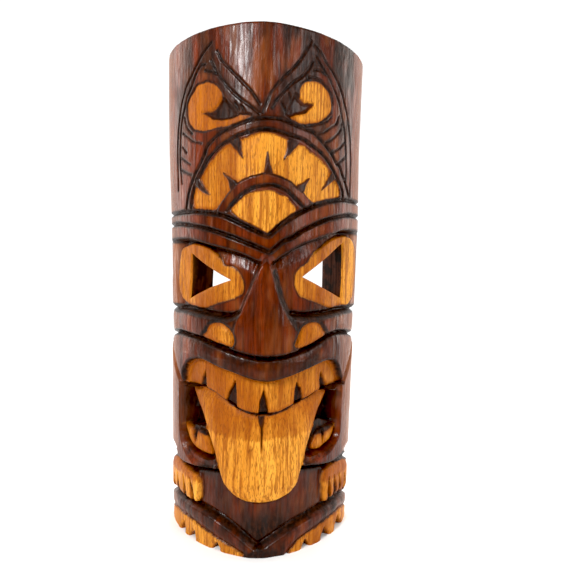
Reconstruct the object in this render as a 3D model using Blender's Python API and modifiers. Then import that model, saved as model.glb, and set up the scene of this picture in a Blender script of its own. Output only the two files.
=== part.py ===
"""A carved tiki wall mask: half a log, scooped out behind, on two D-ring hangers.

Frame: metres, +Z up, the face looks along -Y. The origin is the middle of the sawn base's box,
so the mask stands on z = 0, and its sawn back is the plane y = +DEPTH / 2.

The carving is drawn on the log's rounded face as if it were unrolled flat: u runs across the
face and v runs up it, both in millimetres of the nominal sheet, and the sheet is stretched over
the log whatever the log's size is. A depth is how far the chisel goes in, in millimetres.
"""

import math

import bmesh
import bpy
import numpy as np

MM = 0.001

# The half log
HEIGHT = 0.500
HALF_WIDTH = 0.105          # at the top
DEPTH = 0.095               # at the top, back plane to face
BASE_SCALE = 0.936          # section at the base over section at the top
ROUNDNESS = 1.7             # exponent of the section's curve: 2 is an ellipse
LOG_BOW = 0.0026            # how far the lower half of the log stands off the top's centre line
SAW_WASTE = 0.004           # blank left over every sawn face until the saw takes it

# The hollow behind
FRONT_WALL = 0.039          # wood left between the hollow and the face's crown
RAIL_WIDTH = 0.036          # flat wood left beside the hollow at the back, the mean of both
HOLLOW_SHIFT = 0.005        # how far the hollow is cut off centre, toward +X
BASE_WALL = 0.045
TOP_WALL = 0.035
HOLLOW_END_ROUND = 0.060

# The eye holes
LEFT_EYE_LEAN = math.radians(46)
RIGHT_EYE_LEAN = math.radians(34)
EYE_CUT_START = 0.020       # outside the surface
EYE_CUT_LENGTH = 0.085

# The hangers, one let into each rail
HANGER_FROM_TOP = 0.070     # of the ring's axis
POCKET_DEPTH = 0.0060
POCKET_SIDE_ROOM = 0.0018
POCKET_END_ROOM = 0.0025
POCKET_CORNER = 0.0030
STRAP_WIDTH = 0.0120
STRAP_LENGTH = 0.0270       # from the ring's axis to the strap's lower end
STRAP_THICKNESS = 0.0012
EYE_WALL = 0.0010           # of the strap's rolled eye
RING_WIRE = 0.0024
RING_DROP = 0.0135          # from the ring's bar to the middle of its round end
SCREW_DROP = 0.0205         # from the ring's axis to the screw
SCREW_HEAD = 0.0068
SCREW_HEAD_RISE = 0.0016
SCREW_SHANK = 0.0030
SCREW_LENGTH = 0.0150
SLOT_WIDTH = 0.0009
SLOT_DEPTH = 0.0008
GAP = 0.0003                # between metal and whatever it touches

# The nominal sheet that the carving is drawn on, in millimetres
SHEET_HALF = 150.0
SHEET_TALL = 500.0
GRID_STEP = 2.5
BODY_KEEP = 0.135           # share of the blank's triangles kept

# Lines of the face, left back edge to right back edge, in sheet millimetres
BROW_UPPER = [(-156, 333.6), (-80, 333.6), (-40, 329), (-20, 321), (6, 310.5), (20, 322),
              (40, 334.5), (60, 343), (100, 350.5), (156, 351.5)]
BROW_LOWER = [(-156, 322), (-80, 320), (-40, 312), (-20, 305.5), (6, 295.5), (20, 305.5),
              (40, 316.5), (60, 325.5), (80, 331.5), (110, 336), (156, 336)]
BROW_EDGE = [(-156, 305.5), (-100, 306.5), (-60, 301), (-20, 292), (7, 283), (20, 291),
             (40, 302), (60, 309), (100, 319), (156, 320)]
CHEEK_TOP_LEFT = [(-156, 235), (-100, 236), (-60, 233.5), (-35, 233), (-18, 238)]
CHEEK_TOP_RIGHT = [(34, 236), (50, 234.5), (70, 235), (110, 238), (156, 237)]
CHEEK_BASE = [(-156, 202), (-130, 208), (-110, 211), (-70, 209), (-40, 204), (0, 195.5),
              (20, 196), (40, 200), (78, 213), (95, 215.5), (115, 213.5), (156, 206)]
TEETH_TOP = [(-104, 157), (-100, 170), (-90, 181), (-72, 188), (-55, 186), (-30, 180), (0, 173),
             (12, 172.5), (30, 176), (60, 184.5), (80, 187.5), (92, 185), (102, 173), (111, 160)]
TEETH_BASE = [(-104, 157), (-80, 159), (-60, 156.5), (-40, 150), (-20, 142), (0, 139),
              (16, 139.5), (40, 147), (60, 152), (80, 157.5), (111, 160)]
TONGUE_TOP = [(-97, 152), (-75, 155.5), (-58, 153.5), (-40, 147), (-18, 137), (3, 133),
              (20, 135), (45, 144.5), (72, 153), (93, 151.5)]
TONGUE_SIDE = [(93, 151.5), (80, 140), (68, 122), (60, 108), (54, 93), (48, 78), (42, 64),
               (28, 56), (5, 52.5), (-18, 54), (-32, 61), (-42, 74), (-50, 92), (-62, 111),
               (-74, 131), (-85, 142), (-97, 152)]
LIP_BASE_LEFT = [(-156, 64), (-140, 70), (-125, 75), (-95, 72), (-70, 75), (-44, 80)]
LIP_BASE_RIGHT = [(48, 84), (70, 80), (90, 77), (118, 76), (140, 70), (156, 64)]
FOREARM_TOP = [(-156, 26), (-120, 36), (-70, 35), (-45, 33), (-20, 22), (0, 9), (20, 19),
               (45, 28), (70, 32), (110, 34), (156, 24)]
FOREARM_BASE = [(-156, 6), (-120, 17), (-90, 19), (-60, 15), (-30, 8), (-8, -4), (30, -4),
                (42, 7), (60, 14), (90, 19.5), (120, 19), (156, 6)]

# Closed outlines on the face
NOSE = [(7, 290), (-6, 281), (-13, 262), (-20, 245), (-26, 230), (-31, 214), (-34, 200),
        (-20, 196), (5, 193), (30, 194), (42, 200), (41, 212), (39, 226), (28, 244), (20, 262),
        (15, 280)]
LEFT_NOSTRIL = [(-67, 211), (-58, 222), (-47, 227), (-35, 223.5), (-27, 213), (-31, 204),
                (-45, 205)]
RIGHT_NOSTRIL = [(37, 205), (40, 217), (48, 226), (60, 228.5), (70, 223), (77, 213), (60, 207)]
LEFT_EYE_FRAME = [(-114, 297), (-100, 302), (-84, 303), (-64, 298.5), (-48, 288), (-40, 281),
                  (-28, 277.5), (-20, 266), (-23, 255), (-38, 249), (-62, 240), (-90, 238.5),
                  (-112, 244), (-119, 262), (-117, 282)]
RIGHT_EYE_FRAME = [(60, 295), (85, 309), (108, 315), (124, 312), (132, 296), (134, 268),
                   (126, 246), (108, 239), (80, 243), (48, 253.5), (39, 263), (39, 278),
                   (50, 284)]
LEFT_EYE_HOLE = [(-94, 292.5), (-33, 268), (-98, 247)]
RIGHT_EYE_HOLE = [(107, 307), (109, 250), (47, 272.5)]
LEFT_CORNER = [(-107, 157), (-94, 153), (-80, 140), (-66, 122), (-78, 117), (-94, 115.5),
               (-107.5, 116), (-108, 135)]
RIGHT_CORNER = [(92, 155), (106, 158), (107, 140), (107.5, 121), (92, 123), (78, 127), (66, 124),
                (78, 142)]
LEFT_CORNER_FLOOR = [(-108, 158), (-109, 135), (-109, 112), (-105, 102), (-96, 95), (-81, 90),
                     (-65, 88), (-50, 91), (-56, 108), (-72, 124), (-94, 152)]
RIGHT_CORNER_FLOOR = [(107, 158), (108, 140), (109, 120), (107, 106), (98, 98), (84, 94),
                      (70, 93), (55, 95), (62, 112), (74, 130), (92, 152)]
LEFT_LOWER_TEETH = [(-107, 114), (-89, 113), (-69, 114), (-55, 93.5), (-80, 92.5), (-98, 99)]
RIGHT_LOWER_TEETH = [(105.5, 116), (83, 117), (69, 108), (64, 98), (86, 98), (101, 103)]
LEFT_HAND = [(-156, 60), (-122, 73), (-88, 68), (-73, 65), (-71, 46), (-80, 37), (-156, 29)]
RIGHT_HAND = [(80, 70), (95, 75), (118, 73), (156, 58), (156, 28), (100, 38), (82, 39)]
LEFT_ARCH = [(0, 403.5), (-31, 394.5), (-58, 374.5), (-76, 352), (-76, 337), (-50, 333),
             (-30, 352), (0, 366), (30, 359), (60, 343.5), (86, 350.5), (86, 361), (62, 383),
             (34, 396)]
SUN = [(-30, 333), (-10, 349.5), (10, 351.8), (33, 337), (32, 332), (12, 315.5), (6, 311),
       (-10, 321)]
LEFT_SCROLL = [(-63, 425), (-50, 424.5), (-42, 430), (-38, 438), (-31, 431), (-22, 421),
               (-30, 416.5), (-40, 416), (-49, 417.7), (-55.5, 421.4)]
RIGHT_SCROLL = [(52, 434.5), (41, 433), (37, 435), (31, 439.5), (27, 432), (22.7, 422),
                (26.4, 418.6), (30, 421.4), (40, 424), (45.5, 427.7), (49, 430.5)]

TEETH_GAPS = [[(-76, 158), (-68, 176), (-67, 158)], [(-40, 148), (-27.5, 171), (-27, 146)],
              [(0, 138), (5.5, 163), (11, 138)], [(41, 147), (43, 169), (52, 148)],
              [(77, 156), (75, 176), (87, 157)]]
TOE_GAPS = [[(-107, -4), (-99, 10), (-97, -4)], [(-90, -4), (-78, 9), (-76, -4)],
            [(-52, -4), (-44.5, 7), (-40, -4)], [(51, -4), (56, 8), (62, -4)],
            [(79, -4), (84, 11), (94, -4)], [(106, -4), (112, 13), (122, -4)]]
FINGER_GAPS = [[(-128, 48), (-123, 36)], [(-105, 54), (-101, 36)], [(-88, 48), (-85, 36)],
               [(95, 60), (94, 37)], [(112, 55), (111, 38)], [(128, 53), (133, 34)]]
ARCH_GROOVES = [[(-89, 337), (-76, 364), (-55, 393), (-20, 411.5), (5, 416), (34, 411.5),
                 (58, 404), (86, 382), (104.5, 354)],
                [(-47, 333), (-27, 356.5), (0, 367), (27, 362), (54, 342)]]
ALMOND_GROOVES = [[(-50, 487), (-76, 463), (-94, 438), (-103, 402), (-105, 354)],
                  [(48, 491), (72, 469), (92, 444), (104, 414), (108, 354)],
                  [(-44, 478), (-20, 449.5), (-2, 427)],
                  [(46, 490), (27, 461), (8, 438.5), (1, 420.5)]]


def curve(points, closed=False, steps=5):
    """The smooth curve through the points (Catmull-Rom), as a polyline."""
    p = np.array(points, float)
    if closed:
        p = np.vstack([p[-1], p, p[0], p[1]])
    else:
        p = np.vstack([2 * p[0] - p[1], p, 2 * p[-1] - p[-2]])
    t = np.linspace(0, 1, steps, endpoint=False)[:, None]
    runs = []
    for a, b, c, d in zip(p[:-3], p[1:-2], p[2:-1], p[3:]):
        bend = (2 * a - 5 * b + 4 * c - d) * t**2 + (3 * b - a - 3 * c + d) * t**3
        runs.append((2 * b + (c - a) * t + bend) / 2)
    runs.append(p[-2][None])
    return np.vstack(runs)


def distance(u, v, line):
    """How far each point of the sheet is from the polyline."""
    best = np.full(u.shape, np.inf)
    for (au, av), (bu, bv) in zip(line[:-1], line[1:]):
        du, dv = bu - au, bv - av
        t = np.clip(((u - au) * du + (v - av) * dv) / max(du * du + dv * dv, 1e-9), 0, 1)
        best = np.minimum(best, np.hypot(u - au - t * du, v - av - t * dv))
    return best


def inward(u, v, outline):
    """Distance to the closed outline, positive inside it."""
    inside = np.zeros(u.shape, bool)
    for (au, av), (bu, bv) in zip(outline[:-1], outline[1:]):
        if av != bv:
            inside ^= ((av > v) != (bv > v)) & (u < (bu - au) * (v - av) / (bv - av) + au)
    return np.where(inside, 1, -1) * distance(u, v, outline)


def closed_curve(points):
    return curve(points, closed=True)


def between(upper, lower):
    """The outline of the band between two lines that both run left to right."""
    loop = np.vstack([curve(upper), curve(lower)[::-1]])
    return np.vstack([loop, loop[:1]])


def triangle(points):
    return np.array(points + points[:1], float)


class Sheet:
    """The unrolled face, and how deep it is carved at each point."""

    def __init__(self, u, v):
        self.u = u
        self.v = v
        self.depth = np.zeros(u.shape)

    def carve(self, outline, depth, slope):
        """Take the area inside the outline down, or leave it up, to the depth."""
        t = np.clip(0.5 + inward(self.u, self.v, outline) / slope, 0, 1)
        t = t * t * (3 - 2 * t)
        self.depth = self.depth * (1 - t) + depth * t

    def groove(self, line, width, depth):
        """Cut a V along the line."""
        reach = np.clip(1 - 2 * distance(self.u, self.v, line) / width, 0, 1)
        self.depth = self.depth + depth * reach

    def rounded(self, outline, crown, edge, reach):
        """Depths of a rounded area: crown in its middle, edge at its outline."""
        t = np.clip(inward(self.u, self.v, outline) / reach, 0, 1)
        return edge + (crown - edge) * np.sqrt(1 - (1 - t)**2)

    def fade(self, depth, start=100, end=132):
        """A depth that dies out toward the log's back edges."""
        t = np.clip((end - np.abs(self.u)) / (end - start), 0, 1)
        return depth * t * t * (3 - 2 * t)


def carve_forehead(sheet):
    for line in ALMOND_GROOVES:
        sheet.groove(curve(line), 5, 2.0)
    for outline in (LEFT_SCROLL, RIGHT_SCROLL):
        sheet.carve(closed_curve(outline), 3.5, 4)
    for outline in (LEFT_ARCH, SUN):
        sheet.carve(closed_curve(outline), 2.2, 3)
    for line in ARCH_GROOVES:
        sheet.groove(curve(line), 4.5, 2.2)


def carve_brow(sheet):
    for line in (BROW_UPPER, BROW_LOWER):
        sheet.groove(curve(line), 6, 3.2)


def carve_eyes(sheet):
    floor = [(-156, 234), (-20, 231), (7, 222), (34, 231), (156, 238)]
    sheet.carve(between(BROW_EDGE, floor), sheet.fade(9.5) + 2, 4)
    for outline in (LEFT_EYE_FRAME, RIGHT_EYE_FRAME):
        loop = closed_curve(outline)
        sheet.carve(loop, sheet.fade(8.5, 96, 134), 3)


def carve_cheeks(sheet):
    cheeks = between(CHEEK_TOP_LEFT + CHEEK_TOP_RIGHT, CHEEK_BASE)
    sheet.carve(cheeks, sheet.rounded(cheeks, 1.5, 5, 9), 3)
    for line in (CHEEK_TOP_LEFT, CHEEK_TOP_RIGHT):
        sheet.groove(curve(line), 8, 3)


def carve_nose(sheet):
    nose = closed_curve(NOSE)
    ridge = np.clip((sheet.v - 225) / 60, 0, 1) * 7
    sheet.carve(nose, ridge, 8)
    for outline in (LEFT_NOSTRIL, RIGHT_NOSTRIL):
        loop = closed_curve(outline)
        sheet.carve(loop, sheet.rounded(loop, 2, 5.5, 9), 3)


def carve_upper_lip(sheet):
    lip = between(CHEEK_BASE, TEETH_BASE)
    sheet.carve(lip, sheet.rounded(lip, 1.0, 3.5, 10), 3)
    sheet.groove(curve(CHEEK_BASE), 6, 4.5)


def carve_mouth(sheet):
    teeth = between(TEETH_TOP, TEETH_BASE)
    sheet.carve(teeth, sheet.rounded(teeth, 7.5, 10, 12), 4)
    for gap in TEETH_GAPS:
        sheet.carve(triangle(gap), 13, 3)
    for outline, depth in ((LEFT_CORNER_FLOOR, 13), (RIGHT_CORNER_FLOOR, 13),
                           (LEFT_CORNER, 21), (RIGHT_CORNER, 21)):
        sheet.carve(closed_curve(outline), depth, 4)
    for outline in (LEFT_LOWER_TEETH, RIGHT_LOWER_TEETH):
        loop = closed_curve(outline)
        sheet.carve(loop, sheet.rounded(loop, 7, 10, 7), 3)
    sheet.groove(curve(TEETH_BASE), 5, 3)


def carve_lower_lip(sheet):
    for line in (LIP_BASE_LEFT, LIP_BASE_RIGHT):
        sheet.groove(curve(line), 9, 6)


def carve_belly(sheet):
    belly = between([(-156, 58), (-120, 72), (-44, 80), (0, 84), (48, 84), (120, 72), (156, 58)],
                    FOREARM_TOP)
    sheet.carve(belly, sheet.fade(6.5, 90, 130) + 1.5, 4)
    for outline in (LEFT_HAND, RIGHT_HAND):
        loop = closed_curve(outline)
        sheet.carve(loop, sheet.rounded(loop, 1.5, 4.5, 9), 3)
    for line in FINGER_GAPS:
        sheet.groove(np.array(line, float), 6, 3)


def carve_tongue(sheet):
    tongue = np.vstack([curve(TONGUE_TOP), curve(TONGUE_SIDE)[1:]])
    lift = np.interp(sheet.v, [52, 70, 110, 155], [3, 1.5, 5, 11])
    sheet.carve(tongue, sheet.rounded(tongue, 0, 3, 14) + lift, 3)
    sheet.groove(np.array([(3, 133), (4, 105)], float), 7, 3)


def carve_base(sheet):
    forearm = between(FOREARM_TOP, FOREARM_BASE)
    sheet.carve(forearm, sheet.rounded(forearm, 0.5, 3, 7), 3)
    sheet.groove(curve(FOREARM_TOP), 8, 4.5)
    feet = between(FOREARM_BASE, [(-156, -9), (-60, -9), (0, -9), (60, -9), (156, -9)])
    sheet.carve(feet, 0.8, 3)
    for gap in TOE_GAPS:
        sheet.carve(triangle(gap), 9, 3)


CARVING = (carve_forehead, carve_brow, carve_eyes, carve_cheeks, carve_nose, carve_upper_lip,
           carve_mouth, carve_lower_lip, carve_belly, carve_tongue, carve_base)


def section_scale(z):
    """Size of the log's section at a height, over its size at the top."""
    return BASE_SCALE + (1 - BASE_SCALE) * z / HEIGHT


def log_bow(z):
    """Sideways shift of the log's section: none at the top, all of it below the brow."""
    t = np.clip((0.85 - z / HEIGHT) / 0.25, 0, 1)
    return LOG_BOW * t * t * (3 - 2 * t)


def section_table():
    """The top section's curve: girth from the crown, x, y, and the outward normal."""
    angle = np.linspace(-math.pi / 2, math.pi / 2, 2001)
    sine, cosine = np.sin(angle), np.abs(np.cos(angle))
    x = HALF_WIDTH * np.sign(sine) * np.abs(sine) ** (2 / ROUNDNESS)
    y = -DEPTH * cosine ** (2 / ROUNDNESS)
    girth = np.concatenate([[0], np.cumsum(np.hypot(np.diff(x), np.diff(y)))])
    girth -= girth[1000]
    along_x, along_y = np.gradient(x), np.gradient(y)
    length = np.hypot(along_x, along_y)
    return girth, x, y, along_y / length, -along_x / length


def on_log(u, v, depth):
    """World points of sheet points: arrays in sheet millimetres, depth in millimetres."""
    girth, x, y, normal_x, normal_y = section_table()
    stretch = girth[-1] / SHEET_HALF
    past = np.clip(np.abs(u) - SHEET_HALF, 0, None) * MM      # behind the sawn back
    s = np.clip(u * stretch, girth[0], girth[-1])
    z = v / SHEET_TALL * HEIGHT
    scale = section_scale(z)
    nx = np.interp(s, girth, normal_x)
    ny = np.interp(s, girth, normal_y)
    px = np.interp(s, girth, x) * scale + log_bow(z) - nx * depth * MM
    py = np.interp(s, girth, y) * scale + DEPTH / 2 + past - ny * depth * MM
    return np.stack([px, py, z], axis=-1)


def principled(name, colour, roughness, metallic=0.0):
    material = bpy.data.materials.new(name)
    material.use_nodes = True
    shader = material.node_tree.nodes["Principled BSDF"]
    shader.inputs["Base Color"].default_value = (*colour, 1)
    shader.inputs["Roughness"].default_value = roughness
    shader.inputs["Metallic"].default_value = metallic
    return material


def collection(name):
    made = bpy.data.collections.new(name)
    bpy.context.scene.collection.children.link(made)
    return made


def move_to(obj, where):
    for old in list(obj.users_collection):
        old.objects.unlink(obj)
    where.objects.link(obj)


def cut(obj, cutter, operation="DIFFERENCE"):
    modifier = obj.modifiers.new(cutter.name, "BOOLEAN")
    modifier.operation = operation
    modifier.solver = "EXACT"
    modifier.object = cutter


def hide_cutter(obj, name):
    obj.name = name
    obj.hide_render = True
    obj.display_type = "WIRE"
    move_to(obj, bpy.data.collections["cutters"])
    return obj


def box(name, low, high):
    """A box from corner to corner, with its scale applied."""
    bpy.ops.mesh.primitive_cube_add(size=1)
    obj = bpy.context.object
    obj.name = name
    size = [b - a for a, b in zip(low, high)]
    middle = [(a + b) / 2 for a, b in zip(low, high)]
    for vertex in obj.data.vertices:
        vertex.co = [c * s + m for c, s, m in zip(vertex.co, size, middle)]
    return obj


def row(edited, chosen, order):
    """The grid's vertices that are chosen, in rising order."""
    picked = [index for index in np.argsort(order) if chosen[index]]
    return [edited.verts[index] for index in picked]


def bend_blank(obj):
    """Bend the flat grid round the log, carve it, and close it behind and at both ends."""
    mesh = obj.data
    flat = np.array([vertex.co[:] for vertex in mesh.vertices])
    waste = SAW_WASTE / MM
    u = flat[:, 0] * (SHEET_HALF + waste)
    v = flat[:, 1] * (SHEET_TALL / 2 + waste) + SHEET_TALL / 2
    sheet = Sheet(u, v)
    for step in CARVING:
        step(sheet)
    for vertex, place in zip(mesh.vertices, on_log(u, v, sheet.depth)):
        vertex.co = place
    edited = bmesh.new()
    edited.from_mesh(mesh)
    edited.verts.ensure_lookup_table()
    edited.faces.new(row(edited, v > v.max() - 0.1, u))
    edited.faces.new(row(edited, v < v.min() + 0.1, -u))
    right = row(edited, u > u.max() - 0.1, v)
    left = row(edited, u < u.min() + 0.1, -v)
    edited.faces.new(right + left)
    bmesh.ops.recalc_face_normals(edited, faces=edited.faces)
    bmesh.ops.triangulate(edited, faces=edited.faces)
    edited.to_mesh(mesh)
    edited.free()


def saw_cuts():
    """The block that the saw leaves: its base, its top and its back are the flat faces."""
    side = HALF_WIDTH + 0.02
    block = box("saw_cuts", (-side, -DEPTH, 0), (side, DEPTH / 2, HEIGHT))
    return hide_cutter(block, "saw_cuts")


def hollow_half_width():
    return HALF_WIDTH * BASE_SCALE - RAIL_WIDTH


def scoop():
    """The hollow behind: a long round-ended bowl, half of it past the back."""
    bpy.ops.mesh.primitive_uv_sphere_add(segments=32, ring_count=16, radius=1)
    obj = bpy.context.object
    depth = DEPTH - FRONT_WALL
    low, high = BASE_WALL, HEIGHT - TOP_WALL
    straight = (high - low) / 2 - HOLLOW_END_ROUND
    for vertex in obj.data.vertices:
        x, y, z = vertex.co
        end = math.copysign(straight, z) if abs(z) > 1e-6 else 0
        vertex.co = (x * hollow_half_width() + HOLLOW_SHIFT, y * depth + DEPTH / 2,
                     z * HOLLOW_END_ROUND + end + (low + high) / 2)
    return hide_cutter(obj, "scoop")


def eye_cutter(name, corners, side, lean):
    """A three-sided hole through the wall, leaning in toward the mask's middle."""
    u, v = np.array(corners, float).T
    face = on_log(u, v, np.full(3, 9.0))
    way = np.array([-side * math.sin(lean), math.cos(lean), 0])
    made = bmesh.new()
    start = made.faces.new([made.verts.new(point - way * EYE_CUT_START) for point in face])
    grown = bmesh.ops.extrude_face_region(made, geom=[start])
    moved = [item for item in grown["geom"] if isinstance(item, bmesh.types.BMVert)]
    bmesh.ops.translate(made, verts=moved, vec=way * EYE_CUT_LENGTH)
    bmesh.ops.recalc_face_normals(made, faces=made.faces)
    mesh = bpy.data.meshes.new(name)
    made.to_mesh(mesh)
    made.free()
    obj = bpy.data.objects.new(name, mesh)
    bpy.context.scene.collection.objects.link(obj)
    return hide_cutter(obj, name)


def strap_face():
    """World y of the strap's inner face, against the pocket's floor."""
    return DEPTH / 2 - POCKET_DEPTH + GAP


def eye_radius():
    """Outer radius of the strap's rolled eye, round the ring's bar."""
    return RING_WIRE / 2 + GAP + EYE_WALL


def hanger_axis(side):
    """Middle of the ring's bar: midway across the rail, just clear of the pocket's floor."""
    z = HEIGHT - HANGER_FROM_TOP
    edge = HALF_WIDTH * section_scale(z)
    x = (side * (edge + hollow_half_width()) + HOLLOW_SHIFT) / 2
    return x, strap_face() + eye_radius(), z


def ring_half_width():
    """Across the ring to its wire's middle: the bar passes both ends of the strap's eye."""
    return STRAP_WIDTH / 2 + GAP + RING_WIRE / 2


def pocket_cutter(name, side):
    x, _, z = hanger_axis(side)
    half = ring_half_width() + RING_WIRE / 2 + POCKET_SIDE_ROOM
    reach_up = RING_DROP + RING_WIRE / 2 + POCKET_END_ROOM
    low = (x - half, DEPTH / 2 - POCKET_DEPTH, z - STRAP_LENGTH - POCKET_END_ROOM)
    high = (x + half, DEPTH / 2 + 0.01, z + reach_up)
    obj = box(name, low, high)
    bevel = obj.modifiers.new("corners", "BEVEL")
    bevel.width = POCKET_CORNER
    bevel.segments = 2
    return hide_cutter(obj, name)


def rod_cutter(name, radius, length, middle, along):
    """A round cutter along X or Y."""
    turn = (0, math.pi / 2, 0) if along == "X" else (math.pi / 2, 0, 0)
    bpy.ops.mesh.primitive_cylinder_add(vertices=24, radius=radius, depth=length,
                                        location=middle, rotation=turn)
    return hide_cutter(bpy.context.object, name)


def pilot_cutter(name, side):
    """The hole that the screw's shank fills, open to the pocket's floor."""
    x, _, z = hanger_axis(side)
    y = DEPTH / 2 - POCKET_DEPTH
    return rod_cutter(name, SCREW_SHANK / 2 + GAP, 2 * SCREW_LENGTH, (x, y, z - SCREW_DROP), "Y")


def make_body(parts):
    bpy.ops.mesh.primitive_grid_add(
        x_subdivisions=round(2 * SHEET_HALF / GRID_STEP),
        y_subdivisions=round(SHEET_TALL / GRID_STEP), size=2)
    body = bpy.context.object
    body.name = "mask_body"
    bend_blank(body)
    move_to(body, parts)
    thin = body.modifiers.new("plain_faces", "DECIMATE")
    thin.ratio = BODY_KEEP
    cut(body, saw_cuts(), "INTERSECT")
    cut(body, scoop())
    cut(body, eye_cutter("left_eye_cut", LEFT_EYE_HOLE, -1, LEFT_EYE_LEAN))
    cut(body, eye_cutter("right_eye_cut", RIGHT_EYE_HOLE, 1, RIGHT_EYE_LEAN))
    for name, side in SIDES:
        cut(body, pocket_cutter(name + "_pocket", side))
        cut(body, pilot_cutter(name + "_pilot", side))
    body.data.materials.append(bpy.data.materials["stained_wood"])
    return body


def make_strap(name, side, parts):
    """A steel strip lying on the pocket's floor, its top end rolled round the ring's bar."""
    x, y, z = hanger_axis(side)
    half = STRAP_WIDTH / 2
    face = strap_face()
    strap = box(name, (x - half, face, z - STRAP_LENGTH), (x + half, face + STRAP_THICKNESS, z))
    screw = (x, face, z - SCREW_DROP)
    cut(strap, rod_cutter(name + "_roll", eye_radius(), STRAP_WIDTH, (x, y, z), "X"), "UNION")
    cut(strap, rod_cutter(name + "_bore", RING_WIRE / 2 + GAP, 2 * STRAP_WIDTH, (x, y, z), "X"))
    cut(strap, rod_cutter(name + "_hole", SCREW_SHANK / 2 + GAP, STRAP_WIDTH, screw, "Y"))
    strap.data.materials.append(bpy.data.materials["zinc_plated_steel"])
    move_to(strap, parts)
    return strap


def make_ring(name, side, parts):
    """A D of wire, straight bar through the strap's eye, hanging down flat over the strap."""
    half = ring_half_width()
    path = [(-half, 0), (half, 0), (half, -RING_DROP + half)]
    turns = 12
    for step in range(1, turns):
        angle = math.pi * step / turns
        path.append((half * math.cos(angle), -RING_DROP + half - half * math.sin(angle)))
    path.append((-half, -RING_DROP + half))
    data = bpy.data.curves.new(name, "CURVE")
    data.dimensions = "3D"
    data.bevel_depth = RING_WIRE / 2
    data.bevel_resolution = 2
    spline = data.splines.new("POLY")
    spline.points.add(len(path) - 1)
    for point, (px, pz) in zip(spline.points, path):
        point.co = (px, 0, pz, 1)
    spline.use_cyclic_u = True
    ring = bpy.data.objects.new(name, data)
    ring.location = hanger_axis(side)
    data.materials.append(bpy.data.materials["zinc_plated_steel"])
    parts.objects.link(ring)
    return ring


def make_screw(name, side, parts):
    """A pan-head wood screw with one slot, turned round Y and driven into the rail."""
    x, _, z = hanger_axis(side)
    seat = strap_face() + STRAP_THICKNESS + GAP
    head, shank = SCREW_HEAD / 2, SCREW_SHANK / 2
    tip = -(SCREW_LENGTH - STRAP_THICKNESS)
    rise = SCREW_HEAD_RISE
    profile = [(0, rise), (head * 0.6, rise * 0.92), (head * 0.9, rise * 0.6), (head, 0),
               (shank, 0), (shank, tip + 2 * shank), (0, tip)]
    mesh = bpy.data.meshes.new(name)
    made = bmesh.new()
    points = [made.verts.new((px, 0, pz)) for px, pz in profile]
    for a, b in zip(points[:-1], points[1:]):
        made.edges.new((a, b))
    made.to_mesh(mesh)
    made.free()
    screw = bpy.data.objects.new(name, mesh)
    screw.rotation_euler = (-math.pi / 2, 0, 0)
    screw.location = (x, seat, z - SCREW_DROP)
    turn = screw.modifiers.new("turned", "SCREW")
    turn.steps = turn.render_steps = 20
    turn.use_merge_vertices = True
    turn.merge_threshold = 0.00005
    middle = z - SCREW_DROP
    slot = box(name + "_slot",
               (x - SLOT_WIDTH / 2, seat + rise - SLOT_DEPTH, middle - SCREW_HEAD),
               (x + SLOT_WIDTH / 2, seat + 2 * rise, middle + SCREW_HEAD))
    cut(screw, hide_cutter(slot, name + "_slot"))
    mesh.materials.append(bpy.data.materials["zinc_plated_steel"])
    parts.objects.link(screw)
    return screw


SIDES = (("left", -1), ("right", 1))


def main():
    for old in list(bpy.data.objects):
        bpy.data.objects.remove(old)
    parts = collection("tiki_mask")
    collection("cutters")
    principled("stained_wood", (0.16, 0.045, 0.016), 0.35)
    principled("zinc_plated_steel", (0.62, 0.63, 0.64), 0.35, 1.0)
    make_body(parts)
    for name, side in SIDES:
        make_strap(name + "_hanger_strap", side, parts)
        make_ring(name + "_hanger_ring", side, parts)
        make_screw(name + "_hanger_screw", side, parts)


main()
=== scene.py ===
"""Looks for the carved tiki mask: its fine carving, its woods and its hangers.

The carving is drawn on the log's rounded face as if it were unrolled flat, as in the CAD: u runs
across the face and v runs up it, in millimetres of a 300 x 500 sheet that is stretched over the
log. Depths are in millimetres, into the wood. Everything else is in metres.
"""

import math

import bmesh
import bpy
import numpy as np
from mathutils import Matrix, Vector


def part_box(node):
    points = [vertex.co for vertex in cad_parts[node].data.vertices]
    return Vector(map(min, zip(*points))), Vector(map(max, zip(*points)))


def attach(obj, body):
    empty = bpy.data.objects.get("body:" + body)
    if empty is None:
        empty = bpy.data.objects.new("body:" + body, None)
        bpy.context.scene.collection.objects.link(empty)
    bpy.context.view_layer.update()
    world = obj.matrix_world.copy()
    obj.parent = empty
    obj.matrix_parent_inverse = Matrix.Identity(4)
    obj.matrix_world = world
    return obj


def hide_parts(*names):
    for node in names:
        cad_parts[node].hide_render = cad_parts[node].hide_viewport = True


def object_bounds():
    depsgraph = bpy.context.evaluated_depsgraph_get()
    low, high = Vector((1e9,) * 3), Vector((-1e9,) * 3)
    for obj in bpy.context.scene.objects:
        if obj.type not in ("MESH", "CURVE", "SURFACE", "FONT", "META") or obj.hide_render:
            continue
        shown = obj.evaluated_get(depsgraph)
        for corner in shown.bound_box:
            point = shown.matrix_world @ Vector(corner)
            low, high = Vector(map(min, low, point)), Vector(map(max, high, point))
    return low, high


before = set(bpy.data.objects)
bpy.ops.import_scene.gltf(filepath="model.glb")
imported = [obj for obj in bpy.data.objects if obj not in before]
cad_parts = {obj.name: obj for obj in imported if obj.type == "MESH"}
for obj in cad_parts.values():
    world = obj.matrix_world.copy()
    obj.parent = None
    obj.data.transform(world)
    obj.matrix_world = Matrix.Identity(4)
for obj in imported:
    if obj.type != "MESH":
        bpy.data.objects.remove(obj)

cad_box = [list(map(float, corner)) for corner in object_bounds()]

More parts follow.
